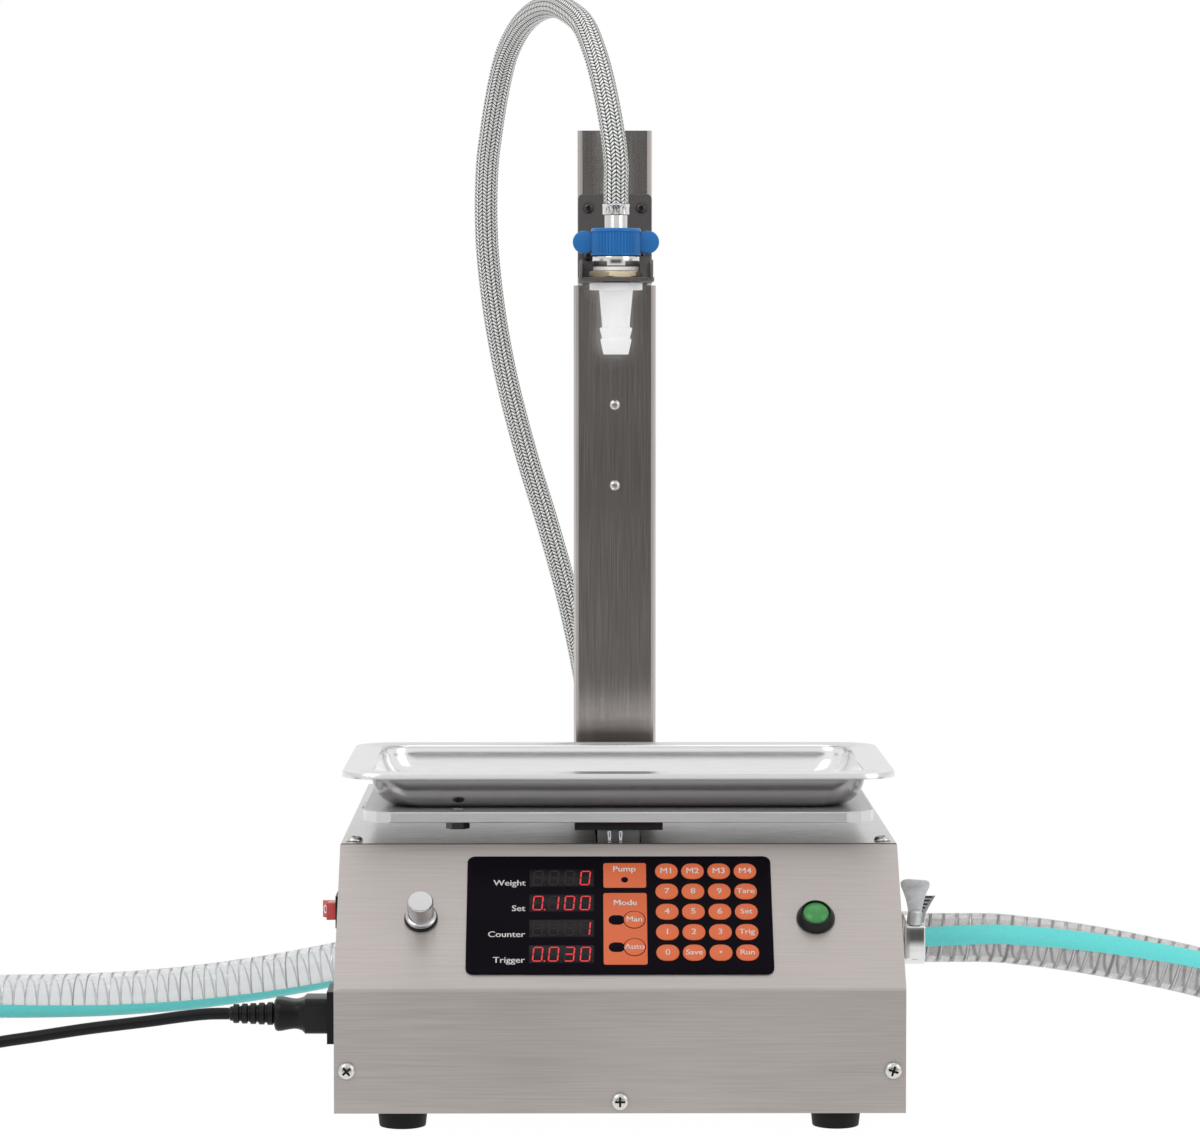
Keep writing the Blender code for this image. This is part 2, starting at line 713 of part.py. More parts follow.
# Sheet body
def body_outline(inset):
    """The (y, z) outline of the body's side, drawn in by the inset."""
    run, rise = math.cos(SLANT_ANGLE), math.sin(SLANT_ANGLE)
    edge_y, edge_z = inset * rise, FOLD_Z - inset * run
    top = BODY_TOP - inset
    return [
        (inset, BODY_BOTTOM + inset),
        (inset, edge_z + (inset - edge_y) / run * rise),
        (edge_y + (top - edge_z) / rise * run, top),
        (BODY_DEPTH - inset, top),
        (BODY_DEPTH - inset, BODY_BOTTOM + inset),
    ]


def screw_places():
    """Each panel screw's seat and the way its head faces, by name."""
    edge = HALF_WIDTH - SCREW_EDGE_MARGIN
    seats = {"panel_screw_bottom": ((0, -GAP, CENTRE_SCREW_HEIGHT), TO_FRONT)}
    for side, place in ((-1, "left"), (1, "right")):
        seats[f"panel_screw_front_{place}"] = ((side * edge, -GAP, FRONT_SCREW_HEIGHT), TO_FRONT)
        for back, depth in ((TOP_SCREW_FRONT, "near"), (TOP_SCREW_REAR, "far")):
            seats[f"panel_screw_{depth}_{place}"] = ((side * edge, back, BODY_TOP + GAP), UPWARD)
    return seats


def foot_places():
    """The middle of each foot, by name."""
    places = {}
    for side, across_name in ((-1, "left"), (1, "right")):
        x = side * (HALF_WIDTH - FOOT_INSET_X)
        places[f"foot_front_{across_name}"] = (x, FOOT_INSET_Y, 0)
        places[f"foot_rear_{across_name}"] = (x, BODY_DEPTH - FOOT_INSET_Y, 0)
    return places


def pan_screw(head_radius, head_height, shank_radius, shank):
    """A pan-head screw whose head stands on Z = 0."""
    return turned([
        (0, head_height), (head_radius / 2, head_height), (head_radius, head_height / 2),
        (head_radius, 0), (shank_radius, 0), (shank_radius, -shank), (0, -shank),
    ], small_sides)


def holes(name, seats, radius, depth, sides=small_sides, parent=machine):
    """Cutters for a hole under each seat."""
    shapes = []
    for place, turn in seats:
        bar = turned([(0, OVERRUN), (radius, OVERRUN), (radius, -depth), (0, -depth)], sides)
        shapes.append(moved(bar, place, turn))
    return tool(name, gathered(shapes), parent=parent)


def make_screws(seats, sizes, look):
    for name, (place, turn) in seats.items():
        piece(name, pan_screw(*sizes), look, place, turn)


def make_body():
    seats = screw_places()
    make_screws(seats, (SCREW_HEAD_RADIUS, SCREW_HEAD_HEIGHT, SCREW_SHANK_RADIUS, SCREW_LENGTH), BRIGHT)
    screw_holes = holes("screw_holes", seats.values(), SCREW_SHANK_RADIUS + GAP, SCREW_LENGTH + OVERRUN)

    outer = body_outline(0)
    inner = body_outline(SHEET)
    lean = (SHEET * math.sin(SLANT_ANGLE), -SHEET * math.cos(SLANT_ANGLE))
    top_edge = (outer[2][0] + lean[0], outer[2][1] + lean[1])
    front_outline = [outer[0], outer[1], outer[2], top_edge, inner[1], (SHEET, BODY_BOTTOM)]
    front = piece("front_panel", side_prism(front_outline, -HALF_WIDTH, HALF_WIDTH), BRUSHED)
    change(front, "DIFFERENCE", screw_holes)

    floor = BODY_BOTTOM + SHEET
    rear_top = BODY_TOP - INNER
    rear_wall = BODY_DEPTH - SHEET
    pan_outline = [
        (INNER, BODY_BOTTOM), (BODY_DEPTH, BODY_BOTTOM), (BODY_DEPTH, rear_top), (rear_wall, rear_top),
        (rear_wall, floor), (INNER, floor),
    ]
    base = piece("base_pan", side_prism(pan_outline, -HALF_WIDTH, HALF_WIDTH), BRUSHED)
    lip_x = HALF_WIDTH - FLANGE_WIDTH - LIP_MARGIN
    lip_low = (-lip_x, INNER + GAP, BODY_BOTTOM + SHEET / 2)
    lip = block(lip_low, (lip_x, INNER + GAP + SHEET, BODY_BOTTOM + LIP_HEIGHT))
    cell_rear = CELL_FRONT + CELL_LENGTH
    pillar = block(
        (-PILLAR_WIDTH / 2, cell_rear - PILLAR_DEPTH, BODY_BOTTOM + SHEET / 2),
        (PILLAR_WIDTH / 2, cell_rear, CELL_BOTTOM - GAP),
    )
    change(base, "UNION", tool("front_lip", lip), tool("load_cell_pillar", pillar))
    change(base, "DIFFERENCE", screw_holes)

    top_low = (-HALF_WIDTH, top_edge[0] + GAP, BODY_TOP - SHEET)
    top = piece("top_plate", block(top_low, (HALF_WIDTH, BODY_DEPTH, BODY_TOP)), BRUSHED)
    change(top, "DIFFERENCE", screw_holes)

    sides = {}
    for side, name in ((-1, "side_panel_left"), (1, "side_panel_right")):
        sides[name] = make_side(name, side)
        change(sides[name], "DIFFERENCE", screw_holes)

    foot_top = FOOT_HEIGHT - GAP
    foot = [
        (0, FOOT_RECESS_DEPTH), (FOOT_RECESS_RADIUS, FOOT_RECESS_DEPTH), (FOOT_RECESS_RADIUS, 0),
        (FOOT_BASE_RADIUS, 0), (FOOT_TOP_RADIUS, foot_top), (FOOT_STUD_RADIUS, foot_top),
        (FOOT_STUD_RADIUS, foot_top + FOOT_STUD), (0, foot_top + FOOT_STUD),
    ]
    for name, place in foot_places().items():
        piece(name, turned(foot, medium_sides), RUBBER, place)
    stud_seats = [((x, y, floor), UPWARD) for x, y, _ in foot_places().values()]
    change(base, "DIFFERENCE", holes("foot_holes", stud_seats, FOOT_STUD_RADIUS + GAP, SHEET + OVERRUN))
    return front, base, top, sides


def make_side(name, side):
    """A side sheet with its flanges turned in at the front, the top, the rear and the bottom."""
    plate_low, plate_high = sorted((side * (HALF_WIDTH - SHEET), side * HALF_WIDTH))
    sheet = piece(name, side_prism(body_outline(INNER), plate_low, plate_high), BRUSHED)
    x_low, x_high = sorted((side * (HALF_WIDTH - FLANGE_WIDTH), side * (HALF_WIDTH - SHEET / 2)))
    near = INNER + GAP
    far = near + SHEET
    low = BODY_BOTTOM + near
    high = BODY_TOP - near
    back = BODY_DEPTH - near
    margin = FLANGE_END_MARGIN
    flanges = [
        block((x_low, near, low + margin), (x_high, far, FOLD_Z - margin)),
        block((x_low, SLANT_SETBACK + margin, high - SHEET), (x_high, back - margin, high)),
        block((x_low, back - SHEET, low + margin), (x_high, back, high - margin)),
        block((x_low, near + margin, low), (x_high, back - margin, low + SHEET)),
    ]
    change(sheet, "UNION", tool(f"{name}_flanges", gathered(flanges)))
    return sheet


# Slanted panel: keypad, knob and start button
def across(share):
    return (share - 0.5) * KEYPAD_WIDTH


def control_row():
    """The knob's and the start button's place up the slope."""
    return (0.5 - control_row_share) * SLANT_LENGTH


def keypad_row(share):
    middle = (0.5 - keypad_middle_share) * SLANT_LENGTH
    return middle + (0.5 - share) * KEYPAD_HEIGHT


def make_keypad(front):
    low = GAP
    high = GAP + OVERLAY_THICKNESS
    outline = [rounded(KEYPAD_WIDTH, KEYPAD_HEIGHT, KEYPAD_CORNER, height) for height in (low, high)]
    sheet = moved(loft(outline), (0, keypad_row(0.5), 0))
    overlay = piece("keypad_overlay", sheet, OVERLAY, parent=panel)
    keys = []
    key_low = low + OVERLAY_THICKNESS / 2
    key_high = high + KEY_RISE
    for row in key_row_shares:
        for column in key_column_shares:
            key = [rounded(KEY_WIDTH, KEY_HEIGHT, KEY_CORNER, height, 1) for height in (key_low, key_high)]
            keys.append(moved(loft(key), (across(column), keypad_row(row), 0)))
    for row in round_key_row_shares:
        key = [circle(ROUND_KEY_RADIUS, height, small_sides) for height in (key_low, key_high)]
        keys.append(moved(loft(key), (across(round_key_column_share), keypad_row(row), 0)))
    change(overlay, "UNION", tool("keys", gathered(keys), parent=panel))

    column = across(display_column_share)
    window_x = DISPLAY_WIDTH / 2 + DISPLAY_MARGIN
    window_low = keypad_row(display_row_shares[-1]) - DISPLAY_HEIGHT / 2 - DISPLAY_MARGIN
    window_high = keypad_row(display_row_shares[0]) + DISPLAY_HEIGHT / 2 + DISPLAY_MARGIN
    window = block((column - window_x, window_low, -OVERRUN), (column + window_x, window_high, OVERRUN))
    change(front, "DIFFERENCE", tool("display_window", window, parent=panel))
    board_bottom = -BOARD_DEPTH - BOARD_THICKNESS
    board_middle = (board_bottom - BOARD_DEPTH) / 2
    board_x = KEYPAD_WIDTH / 2 - BOARD_MARGIN
    board_y = KEYPAD_HEIGHT / 2 - BOARD_MARGIN
    middle = keypad_row(0.5)
    board_shape = block(
        (KNOB_X - POT_RADIUS - BOARD_MARGIN, middle - board_y, board_bottom),
        (board_x, middle + board_y, -BOARD_DEPTH),
    )
    board = piece("keypad_board", board_shape, BOARD_GREEN, parent=panel)
    mounted = []
    for row in display_row_shares:
        half_x, half_y, display_y = DISPLAY_WIDTH / 2, DISPLAY_HEIGHT / 2, keypad_row(row)
        mounted.append(block(
            (column - half_x, display_y - half_y, board_middle), (column + half_x, display_y + half_y, 0),
        ))
    for x in (-board_x + STANDOFF_INSET, board_x - STANDOFF_INSET):
        for y in (middle - board_y + STANDOFF_INSET, middle + board_y - STANDOFF_INSET):
            rings = [circle(STANDOFF_RADIUS, height, small_sides) for height in (board_middle, -INNER)]
            mounted.append(moved(loft(rings), (x, y, 0)))
    bore = SPINDLE_RADIUS + GAP
    pot_floor = -SPINDLE_DEPTH - GAP
    pot = [
        (bore, KNOB_SEAT), (BUSH_RADIUS, KNOB_SEAT), (BUSH_RADIUS, -INNER), (POT_RADIUS, -INNER),
        (POT_RADIUS, board_middle), (0, board_middle), (0, pot_floor), (bore, pot_floor),
    ]
    mounted.append(moved(turned(pot, medium_sides), (KNOB_X, control_row(), 0)))
    change(board, "UNION", tool("board_parts", gathered(mounted), parent=panel))


def make_knob(front):
    place = (KNOB_X, control_row(), 0)
    bottom = KNOB_SEAT + GAP
    flange_top = bottom + KNOB_FLANGE_HEIGHT
    top = bottom + KNOB_HEIGHT
    knob = [
        (0, top), (KNOB_CAP_RADIUS - KNOB_EDGE, top), (KNOB_CAP_RADIUS, top - KNOB_EDGE),
        (KNOB_CAP_RADIUS, flange_top), (KNOB_FLANGE_RADIUS, flange_top), (KNOB_FLANGE_RADIUS, bottom),
        (SPINDLE_RADIUS, bottom), (SPINDLE_RADIUS, -SPINDLE_DEPTH), (0, -SPINDLE_DEPTH),
    ]
    piece("control_knob", turned(knob, large_sides), ALUMINIUM, place, parent=panel)
    change(front, "DIFFERENCE", holes(
        "knob_hole", [(place, UPWARD)], BUSH_RADIUS + GAP, OVERRUN, medium_sides, panel,
    ))


def make_button(front):
    place = (BUTTON_X, control_row(), 0)
    bore = BUTTON_CAP_RADIUS + GAP
    well_floor = -SHEET - STEM_LENGTH
    switch_bottom = well_floor - SWITCH_DEPTH
    bezel = [
        (bore, BEZEL_HEIGHT), (BEZEL_TOP_RADIUS, BEZEL_HEIGHT), (BEZEL_BASE_RADIUS, BEZEL_EDGE),
        (BEZEL_BASE_RADIUS, GAP), (STEM_RADIUS, GAP), (STEM_RADIUS, switch_bottom), (0, switch_bottom),
        (0, well_floor), (bore, well_floor),
    ]
    piece("button_bezel", turned(bezel, large_sides), BLACK_PLASTIC, place, parent=panel)
    skirt = BUTTON_CAP_HEIGHT - BUTTON_DOME
    half = BUTTON_CAP_RADIUS / 2
    cap = [
        (0, BUTTON_CAP_HEIGHT), (half, BUTTON_CAP_HEIGHT - BUTTON_DOME / 6),
        (BUTTON_CAP_RADIUS - BUTTON_DOME / 3, BUTTON_CAP_HEIGHT - BUTTON_DOME / 2),
        (BUTTON_CAP_RADIUS, skirt), (BUTTON_CAP_RADIUS, -BUTTON_SKIRT), (PLUNGER_RADIUS, -BUTTON_SKIRT),
        (PLUNGER_RADIUS, -BUTTON_SKIRT - PLUNGER_LENGTH), (0, -BUTTON_SKIRT - PLUNGER_LENGTH),
    ]
    piece("button_cap", turned(cap, large_sides), GREEN, place, parent=panel)
    change(front, "DIFFERENCE", holes(
        "button_hole", [(place, UPWARD)], STEM_RADIUS + GAP, OVERRUN, large_sides, panel,
    ))


# Left side: rocker switch, mains inlet and power plug
def side_box(length, height, depth_low, depth_high):
    """A box in the left side's frame: X up, Y along the side, Z out of it."""
    return block((-height / 2, -length / 2, depth_low), (height / 2, length / 2, depth_high))


def make_rocker(side):
    place = (-HALF_WIDTH, ROCKER_Y, ROCKER_Z)
    slot_height = ROCKER_HEIGHT + 2 * GAP
    body_length = ROCKER_SLOT_LENGTH + 2 * ROCKER_BODY_MARGIN
    body_height = slot_height + 2 * ROCKER_BODY_MARGIN
    rim = side_box(body_length + 2 * ROCKER_RIM, body_height + 2 * ROCKER_RIM, GAP, ROCKER_RIM_THICKNESS)
    frame = piece("rocker_frame", rim, BLACK_PLASTIC, place, TO_LEFT)
    body = side_box(body_length, body_height, -ROCKER_BODY_DEPTH, ROCKER_RIM_THICKNESS - GAP)
    change(frame, "UNION", tool("rocker_body", body, place, TO_LEFT))
    slot = side_box(ROCKER_SLOT_LENGTH, slot_height, -ROCKER_SLOT_DEPTH, ROCKER_RIM_THICKNESS + OVERRUN)
    change(frame, "DIFFERENCE", tool("rocker_slot", slot, place, TO_LEFT))
    hole = side_box(body_length + 2 * GAP, body_height + 2 * GAP, -OVERRUN, OVERRUN)
    change(side, "DIFFERENCE", tool("rocker_hole", hole, place, TO_LEFT))
    half = ROCKER_LENGTH / 2
    outline = [
        (-half, -ROCKER_ROOT), (half, -ROCKER_ROOT), (half, ROCKER_WING), (0, ROCKER_MIDDLE), (-half, ROCKER_WING),
    ]
    rings = [[Vector((x, y, z)) for y, z in outline] for x in (-ROCKER_HEIGHT / 2, ROCKER_HEIGHT / 2)]
    tilted = TO_LEFT @ Matrix.Rotation(ROCKER_TILT, 3, "X")
    piece("power_rocker", loft(rings), RED_LENS, place, tilted)


def make_inlet(side):
    place = (-HALF_WIDTH, INLET_Y, INLET_Z)
    rim_top = GAP + INLET_RIM
    inlet = piece("power_inlet", side_box(INLET_WIDTH, INLET_HEIGHT, GAP, rim_top), BLACK_PLASTIC, place, TO_LEFT)
    body_length = INLET_WIDTH - 2 * INLET_BODY_MARGIN
    body_height = INLET_HEIGHT - 2 * INLET_BODY_MARGIN
    body = side_box(body_length, body_height, -INLET_BODY_DEPTH, rim_top - GAP)
    change(inlet, "UNION", tool("inlet_body", body, place, TO_LEFT))
    well = side_box(PLUG_WIDTH + 2 * GAP, PLUG_HEIGHT + 2 * GAP, rim_top - PLUG_NOSE - GAP, rim_top + OVERRUN)
    change(inlet, "DIFFERENCE", tool("inlet_well", well, place, TO_LEFT))
    hole = side_box(body_length + 2 * GAP, body_height + 2 * GAP, -OVERRUN, OVERRUN)
    change(side, "DIFFERENCE", tool("inlet_hole", hole, place, TO_LEFT))

    body_end = rim_top + PLUG_BODY
    waist_end = body_end + PLUG_WAIST
    relief_end = waist_end + PLUG_RELIEF
    corner = PLUG_HEIGHT / 5
    rings = [
        rounded(PLUG_HEIGHT, PLUG_WIDTH, corner, rim_top - PLUG_NOSE),
        rounded(PLUG_HEIGHT, PLUG_WIDTH, corner, body_end),
    ]
    for index, (height_share, width_share) in enumerate(plug_waist_shares):
        level = body_end + PLUG_WAIST * (index + 1) / len(plug_waist_shares)
        rings.append(rounded(PLUG_HEIGHT * height_share, PLUG_WIDTH * width_share, corner, level))
    for rib in range(relief_ribs):
        start = waist_end + PLUG_RELIEF * (rib + 0.5) / relief_ribs
        end = waist_end + PLUG_RELIEF * (rib + 1) / relief_ribs
        radius = RELIEF_THICK + (RELIEF_THIN - RELIEF_THICK) * (rib + 1) / relief_ribs
        rings.append(rounded(2 * radius, 2 * radius, radius, start))
        rings.append(rounded(2 * (radius - RELIEF_RIB), 2 * (radius - RELIEF_RIB), radius - RELIEF_RIB, end))
    rings[-1] = rounded(2 * RELIEF_THIN, 2 * RELIEF_THIN, RELIEF_THIN, relief_end)
    piece("power_plug", loft(rings), BLACK_PLASTIC, place, TO_LEFT)


def make_power_cord():
    spacing = 5 * CORD_RADIUS
    free = smooth_route(POWER_ROUTE, spacing)
    tube("power_cord", [free], CORD_RADIUS, BLACK_PLASTIC, 2)
    low = CORD_RADIUS + CORD_LIFT
    loops = coil(
        (CORD_COIL_X, CORD_COIL_Y), CORD_COIL_RADIUS, CORD_COIL_PITCH, cord_coil_turns, CORD_LAYER, low,
        math.pi / 2, (2 * CORD_RADIUS, CORD_COIL_EXIT),
    )
    tube("power_cord_coil", [loops], CORD_RADIUS, BLACK_PLASTIC, 1)
    print("power cord length", round(length_of(free) + length_of(loops), 3),
          "least gap in its coil", round(least_gap(loops, CORD_RADIUS, coil_points_per_turn // 2), 5))

    start = Vector(loops[-1]) + Vector((GAP, 0, 0))
    relief = [circle(RELIEF_THIN, 0, 12), circle(RELIEF_THICK, MAINS_RELIEF, 12)]
    corner = MAINS_EDGE
    body_low = MAINS_RELIEF - GAP
    body = [rounded(MAINS_THICKNESS, MAINS_WIDTH, corner, height) for height in (body_low, MAINS_RELIEF + MAINS_BODY)]
    plug = piece("mains_plug", loft(body), BLACK_PLASTIC, start, TO_RIGHT)
    blades = []
    blade_start = MAINS_RELIEF + MAINS_BODY - MAINS_EDGE
    blade_end = MAINS_RELIEF + MAINS_BODY + BLADE_LENGTH
    for offset in (-BLADE_SPACING / 2, BLADE_SPACING / 2):
        low_corner = (-BLADE_WIDTH / 2, offset - BLADE_THICKNESS / 2, blade_start)
        blades.append(block(low_corner, (BLADE_WIDTH / 2, offset + BLADE_THICKNESS / 2, blade_end)))
    change(plug, "UNION", tool("plug_relief", loft(relief), start, TO_RIGHT))
    change(plug, "UNION", tool("plug_blades", gathered(blades), start, TO_RIGHT))


# Hose port, clamp and elbows
def make_port(side, base):
    centre = (PORT_X, PORT_Y, PORT_Z)
    flange_top = GAP + PORT_FLANGE
    barb_bottom = flange_top
    profile = [(PORT_BORE, -PORT_TAIL), (PORT_THREAD, -PORT_TAIL), (PORT_THREAD, GAP),
               (PORT_FLANGE_RADIUS, GAP), (PORT_FLANGE_RADIUS, flange_top)]
    for barb in range(barb_count):
        start = barb_bottom + BARB_LENGTH * barb / barb_count
        end = barb_bottom + BARB_LENGTH * (barb + 1) / barb_count
        profile.append((BARB_RADIUS, start))
        profile.append((BARB_ROOT, end))
    profile.append((PORT_BORE, barb_bottom + BARB_LENGTH))
    piece("inlet_port", turned(profile, medium_sides), BRIGHT, centre, TO_RIGHT)

    seats = [
        ("inlet_hole", side, (centre, TO_RIGHT)),
        ("outlet_hole", base, ((OUTLET_X, BODY_DEPTH, OUTLET_Z), TO_REAR)),
        ("return_hole", base, ((RETURN_X, BODY_DEPTH, RETURN_Z), TO_REAR)),
    ]
    for name, sheet, seat in seats:
        change(sheet, "DIFFERENCE", holes(name, [seat], PORT_THREAD + GAP, OVERRUN, medium_sides))

    end_low = flange_top + GAP
    hose_end = [
        (BARB_RADIUS + GAP, end_low), (HOSE_RADIUS, end_low), (HOSE_RADIUS, end_low + HOSE_END),
        (BARB_RADIUS + GAP, end_low + HOSE_END),
    ]
    piece("inlet_hose_end", turned(hose_end, medium_sides), CLEAR, centre, TO_RIGHT)

    make_clamp((PORT_X + end_low + CLAMP_OFFSET, PORT_Y, PORT_Z))
    make_clamp_key()


def worm_line():
    """How far the worm screw's line lies from the hose's."""
    return HOSE_RADIUS + GAP + CLAMP_BAND / 2 + CLAMP_HOUSING_DEPTH / 2


def make_clamp(place):
    """A band round the hose, with a housing on its front side for the worm screw and a loose tail above."""
    inner = HOSE_RADIUS + GAP
    outer = inner + CLAMP_BAND
    band = turned([(inner, 0), (outer, 0), (outer, CLAMP_WIDTH), (inner, CLAMP_WIDTH)], large_sides)
    clamp = piece("inlet_clamp", band, BRIGHT, place, TO_RIGHT)
    half = CLAMP_HOUSING_HEIGHT / 2
    near = inner + CLAMP_BAND / 2
    housing = block((GAP, -near - CLAMP_HOUSING_DEPTH, -half), (CLAMP_WIDTH - GAP, -near, half))
    tail_front = math.hypot(THUMB_WIDTH / 2, THUMB_THICKNESS / 2) + GAP - worm_line()
    tail_back = tail_front + CLAMP_TAIL_THICKNESS
    tail_low = math.sqrt(inner ** 2 - tail_back ** 2) + CLAMP_BAND / 8
    tail = block(
        (CLAMP_WIDTH / 6, tail_front, tail_low),
        (CLAMP_WIDTH - GAP, tail_back, outer + CLAMP_TAIL_RISE),
    )
    change(clamp, "UNION", tool("clamp_housing", housing, place), tool("clamp_tail", tail, place))
    bore_seat = ((CLAMP_WIDTH / 2, -worm_line(), half), UPWARD)
    bore = holes("clamp_bore", [bore_seat], WORM_RADIUS + GAP, 2 * half + OVERRUN)
    bore.location = place
    change(clamp, "DIFFERENCE", bore)


def make_clamp_key():
    """The worm screw with its flat thumb key. It turns in the clamp's housing."""
    x = PORT_X + GAP + PORT_FLANGE + GAP + CLAMP_OFFSET + CLAMP_WIDTH / 2
    seat = CLAMP_HOUSING_HEIGHT / 2 + GAP
    head_top = seat + WORM_HEAD_HEIGHT
    place = (x, PORT_Y - worm_line(), PORT_Z)
    screw = [
        (0, head_top), (WORM_HEAD_RADIUS, head_top), (WORM_HEAD_RADIUS, seat), (WORM_RADIUS, seat),
        (WORM_RADIUS, -seat), (0, -seat),
    ]
    key = piece("inlet_clamp_key", turned(screw, small_sides), BRIGHT, place)
    half = THUMB_THICKNESS / 2
    thumb = block(
        (-THUMB_WIDTH / 2, -half, head_top - WORM_HEAD_HEIGHT / 3),
        (THUMB_WIDTH / 2, half, head_top + THUMB_HEIGHT),
    )
    change(key, "UNION", tool("thumb_key", thumb, place))


def make_elbows():
    flange = [
        (-ELBOW_TAIL, PORT_THREAD), (GAP, PORT_THREAD), (GAP, PORT_FLANGE_RADIUS), (PORT_FLANGE, PORT_FLANGE_RADIUS),
    ]
    start = flange + [(PORT_FLANGE, ELBOW_RADIUS), (RETURN_RISE, ELBOW_RADIUS)]
    end = [(0, ELBOW_RADIUS), (RETURN_END / 3, ELBOW_RADIUS), (RETURN_END / 3, HOSE_RADIUS), (RETURN_END, HOSE_RADIUS)]
    shape = elbow(start, ELBOW_BEND, end, PORT_BORE, medium_sides)
    piece("return_elbow", shape, BRIGHT, (RETURN_X, BODY_DEPTH, RETURN_Z), facing((0, 1, 0), (-1, 0, 0)))

    start = flange + [(PORT_FLANGE, OUTLET_ELBOW_RADIUS), (OUTLET_RISE, OUTLET_ELBOW_RADIUS)]
    end = [
        (0, OUTLET_ELBOW_RADIUS), (OUTLET_END / 4, OUTLET_ELBOW_RADIUS),
        (OUTLET_END / 4, OUTLET_FERRULE_RADIUS), (OUTLET_END, OUTLET_FERRULE_RADIUS),
    ]
    shape = elbow(start, OUTLET_BEND, end, TAIL_BORE, medium_sides)
    piece("outlet_elbow", shape, BRIGHT, (OUTLET_X, BODY_DEPTH, OUTLET_Z), facing((0, 1, 0), (0, 0, 1)))


def make_hoses():
    spacing = 5 * HOSE_RADIUS / 2
    low = HOSE_RADIUS + HOSE_LIFT
    runs = [
        ("inlet_hose", INLET_ROUTE, (INLET_COIL_X, INLET_COIL_Y), -math.pi / 2),
        ("return_hose", RETURN_ROUTE, (RETURN_COIL_X, RETURN_COIL_Y), math.pi / 2),
    ]
    for name, route, centre, start_angle in runs:
        free = smooth_route(route, spacing)
        tube(name, [free], HOSE_RADIUS, CLEAR, 2)
        loops = coil(
            centre, HOSE_COIL_RADIUS, HOSE_COIL_PITCH, hose_coil_turns, 0, low, start_angle,
            (2 * HOSE_RADIUS, 2 * HOSE_RADIUS),
        )
        tube(f"{name}_coil", [loops], HOSE_RADIUS, CLEAR, 1)
        print(name, "length", round(length_of(free) + length_of(loops), 3),
              "least gap in its coil", round(least_gap(loops, HOSE_RADIUS, coil_points_per_turn // 2), 5))
    braid = smooth_route(OUTLET_ROUTE, 5 * BRAID_RADIUS / 2)
    tube("outlet_hose", [braid], BRAID_RADIUS, BRAID, 2)
    print("outlet hose length", round(length_of(braid), 3))


# Post and nozzle bracket
def post_tube(width, wall, corner, low, high):
    """Rings of a square tube, outside up and inside down."""
    hollow = width - 2 * wall
    inner_corner = corner / 2
    return [
        rounded(width, width, corner, low), rounded(width, width, corner, high),
        rounded(hollow, hollow, inner_corner, high), rounded(hollow, hollow, inner_corner, low),
    ]


def make_post(top):
    place = (0, POST_Y, 0)
    foot_bottom = BODY_TOP + GAP
    foot_top = foot_bottom + POST_FOOT_THICKNESS
    rings = post_tube(SLEEVE_WIDTH, SLIDER_WALL, SLEEVE_CORNER, foot_top - POST_FOOT_THICKNESS / 2, SLEEVE_TOP)
    sleeve = piece("post_sleeve", loft(rings, closed=True), POST_STEEL, place)
    foot = [rounded(POST_FOOT_WIDTH, POST_FOOT_DEPTH, SLEEVE_CORNER, height) for height in (foot_bottom, foot_top)]
    change(sleeve, "UNION", tool("post_foot", loft(foot), place))

    seats = {
        "sleeve_screw_upper": ((0, POST_FRONT - GAP, SLEEVE_SCREW_HIGH), TO_FRONT),
        "sleeve_screw_lower": ((0, POST_FRONT - GAP, SLEEVE_SCREW_LOW), TO_FRONT),
    }
    shank = SLIDER_WALL + GAP
    make_screws(seats, (SMALL_HEAD_RADIUS, SMALL_HEAD_HEIGHT, SMALL_SHANK_RADIUS, shank), BRIGHT)
    change(sleeve, "DIFFERENCE", holes(
        "sleeve_holes", seats.values(), SMALL_SHANK_RADIUS + GAP, SLIDER_WALL + OVERRUN,
    ))

    stud_x = POST_FOOT_WIDTH / 2 - FOOT_STUD_INSET
    stud_y = POST_FOOT_DEPTH / 2 - FOOT_STUD_INSET
    studs = []
    stud_seats = []
    for x in (-stud_x, stud_x):
        for y in (POST_Y - stud_y, POST_Y + stud_y):
            heights = (foot_top - POST_STUD, foot_top - POST_FOOT_THICKNESS / 2)
            rings = [circle(POST_STUD_RADIUS, height, small_sides) for height in heights]
            studs.append(moved(loft(rings), (x, y, 0)))
            stud_seats.append(((x, y, BODY_TOP), UPWARD))
    change(sleeve, "UNION", tool("post_studs", gathered(studs)))
    change(top, "DIFFERENCE", holes("stud_holes", stud_seats, POST_STUD_RADIUS + GAP, SHEET + OVERRUN))

    slider_rings = [
        rounded(SLIDER_WIDTH - 2 * SLIDER_WALL, SLIDER_WIDTH - 2 * SLIDER_WALL, SLEEVE_CORNER / 2, height)
        for height in (SLIDER_TOP - SLIDER_CAP, SLIDER_BOTTOM)
    ]
    slider_rings += [
        rounded(SLIDER_WIDTH, SLIDER_WIDTH, SLEEVE_CORNER, height) for height in (SLIDER_BOTTOM, SLIDER_TOP)
    ]
    slider = piece("post_slider", loft(slider_rings), POST_STEEL, (0, POST_Y, 0))
    return slider


